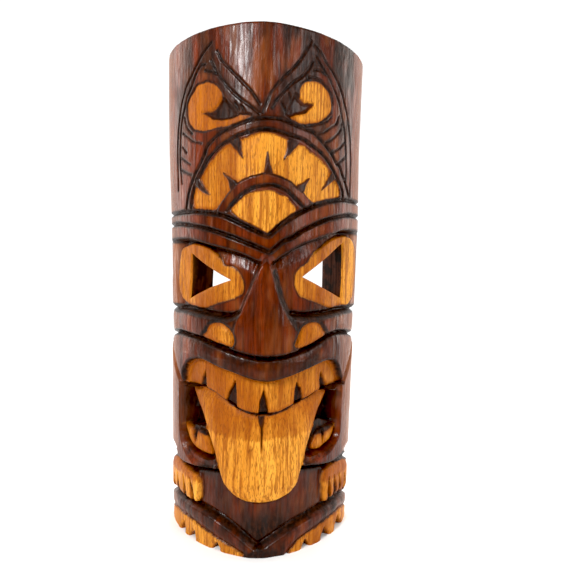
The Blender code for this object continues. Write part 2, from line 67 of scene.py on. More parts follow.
MM = 0.001
SHEET_HALF = 150.0
SHEET_TALL = 500.0
STEP = 0.85                 # of the carved grid, in sheet millimetres
SIDE_STEP = 1.7             # of the grid past the carving, near the log's back edges
CARVED_REACH = 118          # of the carving, to each side of the crown
RAGGED_EDGE = 1.2           # width of a stain's ragged edge, in sheet millimetres

ROUNDNESS = 1.7             # exponent of the log's section
BASE_SCALE = 0.936          # section at the base over section at the top
LOG_BOW = 0.0026
FRONT_WALL = 0.039
RAIL_WIDTH = 0.036          # beside the hollow: the mean of both
HOLLOW_SHIFT = 0.005        # of the hollow toward +X
BASE_WALL = 0.045
TOP_WALL = 0.035
HOLLOW_END_ROUND = 0.060

LEFT_EYE_LEAN = math.radians(49)
RIGHT_EYE_LEAN = math.radians(34)
EYE_RIM_DEPTH = 9.0         # of the carved face round an eye hole, in millimetres
EYE_SIDE_BULGE = 0.8        # of an eye hole's hand-cut sides, in millimetres
EYE_CUT_START = -0.020
EYE_CUT_END = 0.065

GAP = 0.0003
POCKET_SIDE_ROOM = 0.0018
POCKET_END_ROOM = 0.0025
POCKET_CORNER = 0.0030
RING_WIRE = 0.0024
RING_CORNER = 0.0021        # bend radius of the D ring's wire
STRAP_THICKNESS = 0.0012
STRAP_ROLL_THICKNESS = 0.0010
STRAP_ROLL_DEGREES = 292
SCREW_SHANK = 0.0030
SLOT_WIDTH = 0.0009
SLOT_DEPTH = 0.0008
SLOT_TURN = {"left": math.radians(24), "right": math.radians(-37)}

(LOW_X, LOW_Y, LOW_Z), (HIGH_X, HIGH_Y, HIGH_Z) = cad_box
HALF_WIDTH = (HIGH_X - LOW_X) / 2
DEPTH = HIGH_Y - LOW_Y
HEIGHT = HIGH_Z - LOW_Z
BACK = HIGH_Y

# ---------------------------------------------------------------- lines of the carving

BROW_UPPER = [(-156, 333.6), (-118, 333.6), (-80, 333.6), (-60, 332), (-40, 329), (-20, 321),
              (0, 312), (6, 310.5), (10, 313.6), (20, 322), (30, 329), (40, 334.5), (60, 343),
              (80, 347.7), (100, 350.5), (156, 351.5)]
BROW_LOWER = [(-156, 322), (-110, 322.7), (-80, 320), (-60, 317), (-40, 312), (-20, 305.5),
              (0, 298), (6.4, 295.5), (10, 297), (20, 305.5), (30, 310), (40, 316.4),
              (60, 325.5), (80, 331.4), (110, 336), (156, 336)]
BROW_EDGE = [(-156, 305.5), (-100, 306.4), (-80, 305), (-60, 301), (-40, 297), (-20, 292),
             (-6, 286.5), (7, 282.7), (20, 291), (30, 296.4), (40, 302), (60, 309), (80, 314.5),
             (100, 319), (156, 320)]
CHEEK_TOP_LEFT = [(-156, 235), (-120, 235), (-100, 236), (-80, 235), (-60, 233.5), (-35, 233),
                  (-18, 238)]
CHEEK_TOP_RIGHT = [(34, 236), (50, 234.5), (70, 235), (90, 236.5), (110, 238), (156, 237)]
CHEEK_BASE = [(-156, 202), (-130, 208), (-110, 211), (-90, 210.5), (-70, 209), (-40, 203),
              (-20, 198.5), (0, 195.5), (20, 196), (40, 200), (60, 206), (78, 213), (95, 215.5),
              (115, 213.5), (156, 206)]
TEETH_TOP = [(-104, 157), (-101, 164), (-99, 172), (-92, 180), (-84, 185), (-72, 188), (-60, 187),
             (-45, 183), (-30, 180), (-15, 176), (0, 173), (12, 172.5), (30, 176), (45, 180),
             (60, 184), (72, 187), (84, 187.5), (92, 184.5), (98, 178), (104, 169), (111, 160)]
TEETH_BASE = [(-104, 157), (-90, 158.5), (-77, 159), (-60, 157), (-50, 153.5), (-40, 149.5),
              (-27, 144.5), (-15, 141), (0, 139.5), (16, 139.5), (30, 142.5), (42, 147.5),
              (60, 152), (77, 157), (95, 159.5), (111, 160)]
TONGUE = [(-97, 154), (-84, 157), (-72, 158), (-58, 156), (-40, 149.5), (-25, 143),
          (-10, 139.5), (3, 138.5), (20, 139.5), (33, 144), (55, 150.5), (72, 156), (93, 154),
          (84, 144), (76, 135), (68, 122), (60, 108), (54, 93), (49, 80), (45, 69), (37, 60.5),
          (26, 55.5), (12, 53), (-4, 53), (-18, 54.5), (-29, 60), (-38, 68), (-44, 79),
          (-50, 93), (-57, 105), (-66, 119), (-75, 132), (-85, 142)]
LIP_BASE_LEFT = [(-156, 64), (-140, 70), (-125, 75), (-108, 74), (-92, 72), (-80, 73), (-60, 78),
                 (-44, 80)]
LIP_BASE_RIGHT = [(48, 84), (60, 82), (75, 79), (90, 77.5), (105, 78), (118, 77.5), (140, 70),
                  (156, 64)]
FOREARM_TOP = [(-156, 26), (-140, 31), (-120, 36), (-100, 36.5), (-70, 36), (-50, 34),
               (-32, 28), (-18, 21), (-5, 12), (2, 9), (12, 14), (28, 22), (45, 28), (65, 32),
               (90, 34), (115, 34), (140, 29), (156, 24)]
FOREARM_BASE = [(-156, 6), (-135, 13), (-115, 18), (-90, 19.5), (-70, 17.5), (-50, 13.5),
                (-30, 8), (-14, 2), (0, -6), (28, -4), (38, 4), (48, 11), (60, 14.5), (75, 17.5),
                (90, 19.5), (108, 20), (125, 18), (156, 6)]

NOSE = [(7, 291), (-2, 284), (-8, 272), (-13, 260), (-18, 249), (-22, 239), (-26, 228),
        (-30, 214), (-34, 201), (-18, 197), (5, 193.5), (28, 194), (41, 200), (41, 212),
        (38, 224), (30, 237), (23, 250), (19, 262), (15, 276)]
LEFT_NOSTRIL = [(-67, 211), (-62, 216.5), (-57, 223), (-50, 226.5), (-43, 226.5), (-35, 223),
                (-29, 217), (-27, 210), (-30, 204.5), (-40, 203.5), (-52, 206)]
RIGHT_NOSTRIL = [(37, 205), (38, 212), (43, 222), (50, 227), (59, 228.5), (67, 226), (73, 219),
                 (77, 213), (66, 209), (50, 203)]
LEFT_EYE_FRAME = [(-113, 297), (-103, 301), (-90, 303), (-77, 301.5), (-64, 298.5), (-56, 294),
                  (-48, 288), (-43, 281.5), (-33, 280), (-26, 275.5), (-20.5, 267), (-21, 257),
                  (-29, 251.5), (-44, 247), (-58, 242.5), (-70, 239), (-90, 238.5), (-104, 241.5),
                  (-114, 248), (-119, 262), (-117, 282)]
RIGHT_EYE_FRAME = [(60, 295), (72, 302.5), (85, 309), (97, 313), (110, 315), (122, 312.5),
                   (131, 300), (134, 275), (130, 253), (120, 242), (105, 239), (88, 241),
                   (70, 246), (55, 251), (44, 254.5), (39, 263), (38, 273), (42, 280.5),
                   (50, 284)]
LEFT_EYE_HOLE = [(-94, 292.5), (-36, 268), (-98, 247)]
RIGHT_EYE_HOLE = [(107, 307), (109, 250), (47, 272.5)]
LEFT_RIM = [(-105.5, 160), (-106, 140), (-106, 112), (-103, 100), (-95.5, 90.5), (-83, 83),
            (-66, 81), (-48, 84), (-50, 100), (-70, 122), (-94, 152)]
RIGHT_RIM = [(104.5, 160), (104.5, 142), (105, 122), (103.5, 110), (99, 100), (87, 93),
             (70, 89.5), (50, 88), (56, 104), (72, 128), (92, 152)]
LEFT_PIT = [(-106, 158), (-107, 140), (-107, 112), (-103.5, 102), (-95, 95), (-81, 90), (-65, 88),
            (-50, 91), (-56, 108), (-72, 124), (-94, 152)]
RIGHT_PIT = [(105, 158), (105.5, 140), (106, 120), (104.5, 106), (96, 98), (84, 94), (70, 93),
             (55, 95), (62, 112), (74, 130), (92, 152)]
LEFT_RECESS = [(-105, 157), (-94, 153), (-80, 140), (-66, 122), (-78, 117), (-94, 115.5),
               (-105.5, 116), (-106, 135)]
RIGHT_RECESS = [(92, 155), (103.5, 158), (104.5, 140), (105, 121), (92, 123), (78, 127),
                (66, 124), (78, 142)]
LEFT_LOWER_TEETH = [(-107, 114), (-98, 113), (-89, 113), (-80, 114), (-69, 114), (-62, 108),
                    (-55, 93.5), (-66, 91.5), (-80, 92.5), (-92, 96), (-102, 104)]
RIGHT_LOWER_TEETH = [(105.5, 116), (96, 117), (83, 117), (75, 114.5), (69, 108), (64, 99),
                     (75, 95.5), (86, 98), (97, 101), (104, 107)]
LEFT_HAND = [(-175, 58), (-150, 63), (-138, 68), (-122, 73), (-106, 71.5), (-90, 69), (-76, 67.5),
             (-71.5, 59), (-71, 47), (-75, 39.5), (-84, 37), (-105, 37.5), (-122, 37.5),
             (-140, 32), (-150, 30), (-175, 30)]
RIGHT_HAND = [(81, 70), (90, 74.5), (105, 74.5), (120, 73), (138, 67), (150, 62), (175, 58),
              (175, 30), (150, 30), (138, 34), (120, 39), (100, 39), (84, 38.5), (81.5, 52)]
ARCH = [(0, 403.5), (-10, 400), (-20, 397), (-31, 394.5), (-40, 389), (-49, 382), (-58, 374.5),
        (-65.5, 366.4), (-72, 358), (-77, 351), (-78, 344), (-75, 337), (-66, 334.5),
        (-50, 333.5), (-43.6, 339), (-38, 345.5), (-27, 356.4), (-20, 361), (-10, 365), (0, 367),
        (5.5, 367.7), (13.6, 366.4), (27, 362), (38, 354.5), (49, 345.5), (56, 343.5),
        (70, 347), (82, 350), (87, 355), (84, 364), (75.5, 373), (68, 378), (62, 383),
        (54.5, 387), (47, 391), (40, 394.5), (30, 397), (16, 401.5)]
SUN = [(-30, 333.6), (-25.5, 339), (-18, 345.5), (-10, 349), (0, 351.4), (10, 351.8),
       (16.4, 349), (22.7, 346.4), (28, 342), (32.7, 337), (32, 332.7), (27, 328), (20, 322.7),
       (12, 315.5), (6, 311.5), (0, 315.5), (-10, 321), (-20, 325.5)]
LEFT_SWIRL = [(-60, 452), (-68, 451), (-74.5, 446), (-80, 441), (-83, 435), (-81.5, 422),
              (-76, 414), (-70, 410.5), (-60, 408.6), (-49, 409), (-31, 410.5), (-22, 413),
              (-10, 417.7), (-20, 418.8), (-30, 416.6), (-40, 416.2), (-49, 417.7),
              (-55.5, 421.4), (-62, 425), (-50, 424.7), (-43.6, 428.6), (-40, 433),
              (-39, 438), (-41, 443), (-46, 448), (-53, 451.4)]
RIGHT_SWIRL = [(50, 455), (56.4, 455), (63.6, 452), (69, 447), (72, 439.5), (72, 432),
               (69, 428), (63.6, 423), (56.4, 418.6), (47, 416), (39, 414.5), (32, 415.2),
               (26.4, 418.6), (33, 421.8), (40, 424), (45.5, 427.7), (51.5, 434), (45.5, 434),
               (41, 433), (37, 435), (36, 441), (36.6, 446), (39, 451), (44, 454)]
LEFT_WEDGE = [(-62, 425.4), (-50, 425.2), (-43.2, 429.2), (-38.5, 436), (-31, 430), (-23, 421),
              (-30, 417), (-40, 416.6), (-49, 418.2), (-55.5, 421.8)]
RIGHT_WEDGE = [(51, 434), (45.5, 434.6), (41, 433.6), (36.6, 436), (31, 439.5), (27, 431),
               (23, 422.5), (27, 419.4), (33, 422.4), (40, 424.6), (45.5, 428.2)]

TEETH_GAPS = [[(-77, 157), (-72, 168), (-68, 176), (-67, 168), (-67, 157)],
              [(-40.5, 147), (-34, 161), (-28, 171), (-26.8, 160), (-26.5, 145)],
              [(-1, 137), (1, 152), (5.5, 163.5), (9, 152), (11, 137)],
              [(41, 146), (41.3, 160), (43, 169), (48, 163), (53, 147)],
              [(77, 155), (74.5, 168), (75.5, 176), (81, 168), (88, 157)]]
LOWER_TEETH_GAPS = [[(-90.5, 117), (-86.5, 106), (-83, 100), (-80.5, 107), (-79.5, 117)],
                    [(80, 115), (80.6, 107), (81.8, 101.5), (83.4, 105), (84, 112)]]
FINGER_GAPS = [[(-132, 33), (-131, 44), (-130, 52), (-127, 44), (-126, 34)],
               [(-117, 34), (-117, 45), (-117.5, 57), (-113, 46), (-112, 35)],
               [(-99, 35), (-99.5, 48), (-100.5, 61), (-95.5, 49), (-94, 35)],
               [(-83.5, 35), (-84.5, 50), (-87, 62), (-81, 51), (-79, 36)],
               [(91, 35), (89.5, 50), (89.5, 64), (93.5, 52), (96, 36)],
               [(103, 36), (101, 50), (100, 63), (105, 51), (108, 36)],
               [(115, 36), (113, 50), (111.5, 61), (117, 50), (119.5, 36)],
               [(129, 34), (128, 46), (127, 56), (132, 46), (134, 33)]]
TOE_GAPS = [[(-106, -9), (-102, 4), (-98.5, 11), (-96.5, 4), (-97, -9)],
            [(-90, -9), (-84, 2), (-78, 8.5), (-76, 2), (-76, -9)],
            [(-51, -9), (-48, 2), (-44.5, 7), (-41.5, 2), (-40, -9)],
            [(51, -9), (53, 2), (56, 8), (60, 2), (63, -9)],
            [(79, -9), (80.5, 4), (84, 11), (91, 3), (97, -9)],
            [(104, -9), (108, 5), (112, 13), (119, 4), (124, -9)]]
THORNS = [[(-31, 396), (-21, 398.5), (-19.5, 389), (-18, 380), (-24, 388)],
          [(-76, 362), (-71, 356.5), (-63.5, 351), (-55, 348.5), (-62.5, 357), (-68.5, 364.5)],
          [(25, 399), (36, 396.5), (30, 390), (21, 380), (24, 390)],
          [(75, 374), (81, 370), (74, 364), (63, 356.5), (69, 366)],
          [(-31, 352.5), (-24, 358), (-30, 363), (-39.5, 368.6), (-34, 361)],
          [(2, 367), (10, 367.5), (7.5, 376), (5.6, 386.5), (4, 376)],
          [(34, 356), (41, 352), (44, 359), (49, 366.5), (41, 362)]]

ALMOND_LINES = [
    [(-50.5, 487), (-60, 480), (-68, 472), (-76, 463), (-84, 455), (-89, 447), (-94, 438),
     (-97, 429), (-101, 414), (-103, 402), (-104, 380), (-105, 356)],
    [(-58, 469), (-64.5, 468.6), (-71, 461), (-77, 451), (-84, 443), (-88, 434), (-92, 425),
     (-94.5, 416), (-96.5, 405), (-97.5, 391), (-98, 380), (-96, 362)],
    [(-44.5, 478), (-39, 469), (-30, 459.5), (-20, 449.5), (-10, 439.5), (-2, 428)],
    [(-51, 471), (-48, 466), (-42, 456), (-31, 443), (-20, 433), (-10, 426), (-2, 419.5)],
    [(46, 490), (40, 479.5), (34.5, 470.5), (27, 461), (20, 454), (13.6, 446), (8, 438.6),
     (5.5, 432), (1, 420.5)],
    [(48, 471), (43.6, 464), (36.4, 456), (29, 450.5), (22.7, 444), (17.3, 437.7),
     (12.7, 431.4), (9, 425)],
    [(49, 487), (58, 481), (63.6, 475), (72, 468.6), (80, 461), (86.4, 453), (92, 444),
     (97, 435), (101, 425), (104.5, 414), (106.4, 405), (107.7, 391), (108, 380), (107, 355)],
    [(52, 477), (59, 469.5), (67, 463), (72.7, 456), (79, 448.6), (84.5, 440.5), (88, 432),
     (92, 423), (94.5, 414), (96.4, 405), (98, 391), (98.6, 380), (97, 368)]]
THIN_LINES = [
    [(-58, 463), (-51, 461), (-44.5, 458)],
    [(49, 465), (56, 466), (63.6, 464)],
    [(43.6, 457), (51, 458), (58, 457), (66.4, 452), (72, 447), (74, 439.5)],
    [(24.5, 439.5), (29, 427)], [(18, 429.5), (22.7, 422)],
    [(-25, 430), (-21, 423)], [(-19, 427), (-15, 420)],
    [(-91, 410.5), (-82, 405), (-74.5, 400.5), (-63, 397)],
    [(-92, 397), (-85.5, 391)], [(-95, 387), (-80, 379)], [(-95, 375), (-82, 370), (-78, 369)],
    [(-88, 425), (-84, 415), (-76, 408)],
    [(72.7, 427), (66.4, 421), (58, 417.7), (49, 414.5), (39, 412.5)],
    [(83.6, 429.5), (80, 422), (72.7, 417), (63.6, 410.5), (56.4, 407.7)],
    [(88.6, 425), (87, 418), (80, 410.5), (72.7, 405), (65.5, 401.4)],
    [(94.5, 407), (87, 400.5), (80, 396), (74.5, 394)], [(95.5, 392), (89, 388), (82, 383)]]
ARCH_LINES = [
    [(-89, 337), (-86.4, 345.5), (-82, 355), (-76.4, 363.6), (-69, 373.6), (-60, 384.5),
     (-55.5, 393), (-49, 398.6), (-40, 404), (-30, 407.7), (-20, 411.4), (-10, 414), (0, 415.5),
     (10, 416), (20, 415.5), (34.5, 411.4), (50, 408.6), (58, 404), (65.5, 398.6),
     (74.5, 391.8), (80, 385.5), (86.4, 382), (91, 374.5), (97, 367), (104.5, 354.5)],
    [(-80, 337), (-79, 346), (-73, 360), (-64, 371), (-53, 383), (-40, 393), (-31, 397),
     (-20, 401.4), (-10, 404), (0, 406), (10, 406), (20, 404), (30, 402), (40, 400.5),
     (50, 396), (60, 391), (70, 383.5), (78, 375.5), (84.5, 368), (91, 360), (93, 352)],
    [(-47, 333), (-43.6, 339), (-38, 345.5), (-32.7, 351), (-27, 356.4), (-20, 361),
     (-10, 365), (0, 367), (5.5, 367.7), (13.6, 366.4), (20, 364.5), (27, 362), (32, 358),
     (38, 354.5), (43.6, 351), (49, 345.5), (53.6, 342)],
    [(-34.5, 333), (-29, 339), (-22.7, 344.5), (-15.5, 350), (-8, 353.6), (0, 355.5),
     (10, 356.4), (18, 354.5), (25.5, 351), (32, 345.5), (38, 341), (42, 337)]]


# ---------------------------------------------------------------- drawing tools

def curve(points, closed=False, steps=5):
    """The smooth curve through the points (Catmull-Rom), as a polyline."""
    p = np.array(points, float)
    if closed:
        p = np.vstack([p[-1], p, p[0], p[1]])
    else:
        p = np.vstack([2 * p[0] - p[1], p, 2 * p[-1] - p[-2]])
    t = np.linspace(0, 1, steps, endpoint=False)[:, None]
    runs = []
    for a, b, c, d in zip(p[:-3], p[1:-2], p[2:-1], p[3:]):
        bend = (2 * a - 5 * b + 4 * c - d) * t**2 + (3 * b - a - 3 * c + d) * t**3
        runs.append((2 * b + (c - a) * t + bend) / 2)
    runs.append(p[-2][None])
    return np.vstack(runs)


def loop(points):
    return curve(points, closed=True)


def corners(points):
    return np.array(points + points[:1], float)


def between(upper, lower):
    """The outline of the band between two lines that both run left to right."""
    outline = np.vstack([curve(upper), curve(lower)[::-1]])
    return np.vstack([outline, outline[:1]])


def distance(u, v, line):
    best = np.full(u.shape, np.inf)
    for (au, av), (bu, bv) in zip(line[:-1], line[1:]):
        du, dv = bu - au, bv - av
        t = np.clip(((u - au) * du + (v - av) * dv) / max(du * du + dv * dv, 1e-9), 0, 1)
        best = np.minimum(best, np.hypot(u - au - t * du, v - av - t * dv))
    return best


def inward(u, v, outline):
    """Distance to the closed outline, positive inside it."""
    inside = np.zeros(u.shape, bool)
    for (au, av), (bu, bv) in zip(outline[:-1], outline[1:]):
        if av != bv:
            inside ^= ((av > v) != (bv > v)) & (u < (bu - au) * (v - av) / (bv - av) + au)
    return np.where(inside, 1, -1) * distance(u, v, outline)


def soft(t):
    t = np.clip(t, 0, 1)
    return t * t * (3 - 2 * t)


def lattice_noise(u, v, size_u, size_v, seed):
    """Smooth noise from -1 to 1, with features of the sizes given."""
    grid = np.random.default_rng(seed).uniform(-1, 1, (257, 257))
    x = u / size_u + 500.0
    y = v / size_v + 500.0
    x0, y0 = np.floor(x).astype(int), np.floor(y).astype(int)
    fx, fy = soft(x - x0), soft(y - y0)
    x0, y0 = x0 % 256, y0 % 256
    low = grid[y0, x0] * (1 - fx) + grid[y0, x0 + 1] * fx
    high = grid[y0 + 1, x0] * (1 - fx) + grid[y0 + 1, x0 + 1] * fx
    return low * (1 - fy) + high * fy


def blurred(mask, reach):
    """The mask blurred over a reach, in grid steps, by three running means each way."""
    width = 2 * reach + 1
    for axis in (0, 1):
        padding = [(0, 0), (0, 0)]
        padding[axis] = (reach + 1, reach)
        for _ in range(3):
            total = np.cumsum(np.pad(mask, padding, mode="edge"), axis=axis)
            far = np.take(total, range(width, total.shape[axis]), axis=axis)
            near = np.take(total, range(total.shape[axis] - width), axis=axis)
            mask = (far - near) / width
    return mask


def blend(layer, window, value, share):
    """Bring a window of the layer to the value, a number or a whole grid, by the share."""
    if isinstance(value, np.ndarray):
        value = value[window]
    layer[window] = layer[window] * (1 - share) + value * share


class Sheet:
    """The unrolled face: how deep each point is carved, and where the wood is bare or burnt."""

    def __init__(self, across, up):
        self.across = across
        self.up = up
        self.u, self.v = np.meshgrid(across, up)
        self.depth = np.zeros(self.u.shape)
        self.bare = np.zeros(self.u.shape)
        self.burnt = np.zeros(self.u.shape)
        self.amber = np.zeros(self.u.shape)
        self.ragged = 0.45 * lattice_noise(self.u, self.v, 2.2, 5.0, 3)
        self.ragged += 0.35 * lattice_noise(self.u, self.v, 7.0, 9.0, 4)

    def window(self, line, reach):
        """Slices of the grid that hold the line and what is within reach of it."""
        low, high = line.min(axis=0) - reach, line.max(axis=0) + reach
        return (slice(*np.searchsorted(self.up, (low[1], high[1]))),
                slice(*np.searchsorted(self.across, (low[0], high[0]))))

    def carve(self, outline, depth, slope, bare=None, burnt=None, amber=None, inset=0.0):
        """Take the area to a depth, with a slope of that width at its edge, and finish it."""
        w = self.window(outline, slope + 2)
        far = inward(self.u[w], self.v[w], outline)
        blend(self.depth, w, depth, soft(0.5 + far / slope))
        edge = soft(0.5 + (far - inset + self.ragged[w]) / RAGGED_EDGE)
        for layer, value in ((self.bare, bare), (self.burnt, burnt), (self.amber, amber)):
            if value is not None:
                blend(layer, w, value, edge)

    def groove(self, line, width, depth, burn=1.0, scorched=1.15):
        """Cut a V along the line and burn it, over that share of its width."""
        reach = width * scorched / 2 + 2
        w = self.window(line, reach)
        far = distance(self.u[w], self.v[w], line)
        self.depth[w] += depth * np.clip(1 - 2 * far / width, 0, 1)
        edge = burn * soft((reach - 1.6 - far + self.ragged[w]) / RAGGED_EDGE)
        self.burnt[w] = np.maximum(self.burnt[w], edge)
        self.bare[w] *= 1 - edge

    def rounded(self, outline, crown, edge, reach):
        """Depths of a rounded area: crown in its middle, edge at its outline."""
        w = self.window(outline, 6)
        t = np.clip(inward(self.u[w], self.v[w], outline) / reach, 0, 1)
        level = np.full(self.u.shape, float(edge))
        level[w] = edge + (crown - edge) * np.sqrt(1 - (1 - t)**2)
        return level

    def fade(self, depth, start=100, end=132):
        """A depth that dies out toward the log's back edges."""
        return depth * soft((end - np.abs(self.u)) / (end - start))


# ---------------------------------------------------------------- the carving, top to bottom

def carve_forehead(s):
    scorch = 0.6 * lattice_noise(s.u, s.v, 10, 34, 15) + 0.4 * lattice_noise(s.u, s.v, 3, 20, 16)
    s.burnt = soft((scorch + 0.15) / 0.5) * soft((s.v - 390) / 45) * (0.45 + 0.3 * soft(s.u / 40))
    s.burnt *= 1 - 0.8 * soft((np.abs(s.u) - 96) / 24)
    for line in ALMOND_LINES:
        s.groove(curve(line), 3.2, 1.5, 0.95)
    for line in THIN_LINES:
        s.groove(curve(line), 3.0, 1.4, 0.9)
    for swirl, shade in ((LEFT_SWIRL, 1.15), (RIGHT_SWIRL, 0.0)):
        s.groove(loop(swirl), 3.8, 1.2)
        s.carve(loop(swirl), 0.8, 1.5, bare=1, burnt=0, amber=shade)
    for wedge, char in ((LEFT_WEDGE, 0.75), (RIGHT_WEDGE, 0.5)):
        s.carve(loop(wedge), 4.0, 4.5, bare=0, burnt=char)


def carve_arches(s):
    for line in ARCH_LINES:
        s.groove(curve(line), 4.0, 1.9)
    # The arch darker toward its left, the sun a little lighter.
    shade = 0.75 - 0.85 * soft((s.u + 70) / 90)
    for patch, patch_amber in ((ARCH, shade), (SUN, -0.28)):
        s.carve(loop(patch), 2.2, 2.0, bare=1, burnt=0, amber=patch_amber)
    for thorn in THORNS:
        s.groove(loop(thorn), 1.6, 0.5, 0.9, 0.1)
        s.carve(loop(thorn), 0.4, 2.0, bare=0, burnt=0.75)


def carve_brow(s):
    for line in (BROW_UPPER, BROW_LOWER):
        s.groove(curve(line), 5.2, 3.0)


def carve_eyes(s):
    floor = [(-156, 234), (-20, 231), (7, 222), (34, 231), (156, 238)]
    brow = np.interp(s.across, *curve(BROW_EDGE).T)
    lid = 3.5 * soft((brow - s.v) / 15) - 1.0
    s.carve(between(BROW_EDGE, floor), s.fade(11.5 - lid, 104, 138) + 0.5, 4.0, bare=0, burnt=0)
    s.groove(curve(BROW_EDGE), 5.0, 0.6)
    for frame_line, hole in ((LEFT_EYE_FRAME, LEFT_EYE_HOLE), (RIGHT_EYE_FRAME, RIGHT_EYE_HOLE)):
        s.groove(loop(frame_line), 4.0, 0.6, 0.6)
        shade = 0.55 + 0.3 * soft((s.u - 20) / 50) - 1.15 * soft((s.u - 98) / 22)
        s.carve(loop(frame_line), s.fade(8.5, 96, 138), 3.0, bare=1, burnt=0, amber=shade)
        s.carve(corners(hole), s.depth + 2.5, 3.5)


def carve_cheeks(s):
    cheeks = between(CHEEK_TOP_LEFT + CHEEK_TOP_RIGHT, CHEEK_BASE)
    s.carve(cheeks, s.rounded(cheeks, 1.5, 5, 9), 3.0, bare=0, burnt=0)
    for line in (CHEEK_TOP_LEFT, CHEEK_TOP_RIGHT):
        s.groove(curve(line), 8.0, 3.0)


def carve_nose(s):
    ridge = np.clip((s.v - 225) / 60, 0, 1) * 7
    s.carve(loop(NOSE), ridge, 8.0, bare=0, burnt=0)
    s.groove(curve(NOSE[1:8]), 5.0, 0.5, 0.75, 0.8)
    s.groove(curve(NOSE[14:19]), 7.0, 1.0, 1.0, 1.0)
    for nostril, shade in ((LEFT_NOSTRIL, 0.55), (RIGHT_NOSTRIL, 0.85)):
        s.groove(loop(nostril), 6.0, 1.0)
        s.carve(loop(nostril), s.rounded(loop(nostril), 2, 5.5, 9), 2.5, bare=1, burnt=0,
                amber=shade)


def carve_upper_lip(s):
    lip = between(CHEEK_BASE, TEETH_BASE)
    char = soft((100 - np.abs(s.u)) / 30) * np.clip(0.38 + 0.5 * s.ragged, 0.05, 0.9)
    s.carve(lip, s.rounded(lip, 0.6, 5.0, 13), 3.0, bare=0, burnt=char)
    s.groove(curve(CHEEK_BASE), 5.6, 4.0)
    s.groove(curve(TEETH_TOP), 5.0, 1.6)


def carve_mouth(s):
    teeth = between(TEETH_TOP, TEETH_BASE)
    s.carve(teeth, s.rounded(teeth, 7.5, 9.5, 12), 3.5, bare=1, burnt=0,
            amber=1.0 - 0.45 * soft((s.u + 40) / 80))
    for gap in TEETH_GAPS:
        s.carve(corners(gap), 12, 2.6, bare=0, burnt=0.9)
    s.groove(curve(TEETH_BASE), 2.8, 2.5, 1.0, 0.4)
    for rim in (LEFT_RIM, RIGHT_RIM):
        s.carve(loop(rim), 4.0, 3.2, bare=0, burnt=np.clip(0.25 + 0.8 * s.ragged, 0, 1))
    for pit in (LEFT_PIT, RIGHT_PIT):
        s.carve(loop(pit), 12.0, 2.4, bare=0, burnt=0.9, inset=0.8)
    for recess in (LEFT_RECESS, RIGHT_RECESS):
        s.carve(loop(recess), 22, 2.4, bare=0, burnt=1, inset=1.0)
    for row in (LEFT_LOWER_TEETH, RIGHT_LOWER_TEETH):
        # Painted shade: the lower teeth darker toward their inner ends, beside the tongue.
        shade = 0.6 + 0.9 * soft((74 - np.abs(s.u)) / 14)
        gum = 113.5 - 0.1 * (106 - np.abs(s.u))
        s.groove(loop(row), 2.0, 1.0, 0.9, 0.3)
        s.carve(loop(row), s.rounded(loop(row), 6.5, 9.5, 6), 2.2, bare=1,
                burnt=soft((s.v - gum + s.ragged) / 1.8), amber=shade)
    for gap in LOWER_TEETH_GAPS:
        s.carve(corners(gap), 10.5, 2.0, bare=0, burnt=0.95)


def carve_belly(s):
    chin = [(-156, 58), (-120, 72), (-44, 80), (0, 84), (48, 84), (120, 72), (156, 58)]
    belly = between(chin, FOREARM_TOP)
    s.carve(belly, s.fade(6.5, 90, 130) + 1.5, 4.0, bare=0, burnt=0)
    fold = 0.32 + 0.55 * soft((50 - s.v) / 30) * soft((40 - np.abs(s.u - 8)) / 34)
    s.carve(belly, s.depth, 4.0, burnt=np.clip(fold + 0.25 * s.ragged, 0, 1))
    for line in (LIP_BASE_LEFT, LIP_BASE_RIGHT):
        s.groove(curve(line), 8.0, 5.0)
    for side in (-1, 1):
        lip_end = np.array([(side * 156, 74), (side * 140, 76), (side * 124, 79)], float)
        s.groove(lip_end, 22.0, 4.5, 0.0)
    flat = 1.5 * soft((np.abs(s.u) - 112) / 26)
    for hand in (LEFT_HAND, RIGHT_HAND):
        level = s.rounded(loop(hand), 1.5, 4.5, 9) - flat
        shade = 0.2 + 0.85 * soft((s.v - 58 + 5 * s.ragged) / 6)
        s.carve(loop(hand), level, 2.5, bare=1, burnt=0, amber=shade)
    for gap in FINGER_GAPS:
        s.carve(corners(gap), 7.0, 2.4, bare=0, burnt=0.95)


def carve_tongue(s):
    tongue = loop(TONGUE)
    s.groove(tongue, 4.4, 0.8, 0.95, 0.7)
    lift = np.interp(s.v, [52, 70, 110, 155], [3, 1.5, 5, 11])
    s.carve(tongue, s.rounded(tongue, 0, 3, 14) + lift, 2.2, bare=1, burnt=0,
            amber=0.05 + 0.7 * soft((s.v - 111 + 4 * s.ragged - 0.05 * np.abs(s.u)) / 5)
            + 0.15 * soft((s.v - 125) / 15))
    s.groove(curve(TEETH_BASE), 3.4, 1.2, 1.0, 0.9)
    crease = corners([(-1.5, 137), (7, 137), (5.4, 126), (4.8, 112), (4.2, 103), (3.2, 112),
                      (2.6, 126)])
    s.carve(crease, s.depth + 2.5, 3.0, bare=0.1, burnt=0.7)


def carve_base(s):
    forearm = between(FOREARM_TOP, FOREARM_BASE)
    s.carve(forearm, s.rounded(forearm, 0.3, 4.5, 9), 3.0, bare=0,
            burnt=np.clip(0.36 + 0.8 * s.ragged, 0, 1))
    s.groove(curve(FOREARM_TOP), 7.0, 4.0, 1.0, 0.5)
    s.groove(curve(FOREARM_BASE), 3.4, 1.0, 1.0, 0.6)
    below = [(-156, -9), (-60, -9), (0, -9), (60, -9), (156, -9)]
    feet = between(FOREARM_BASE, below)
    s.carve(feet, 0.8, 2.5, bare=1, burnt=0, amber=0.4)
    point = [(-12, 2), (2, 10), (30, 2), (34, -9), (-16, -9)]
    s.carve(corners(point), 0.6, 3.0, bare=0, burnt=0.8)
    for gap in TOE_GAPS:
        s.groove(corners(gap), 7.0, 1.4, 0.0)
        s.carve(corners(gap), 9, 2.5, bare=0, burnt=0.9)


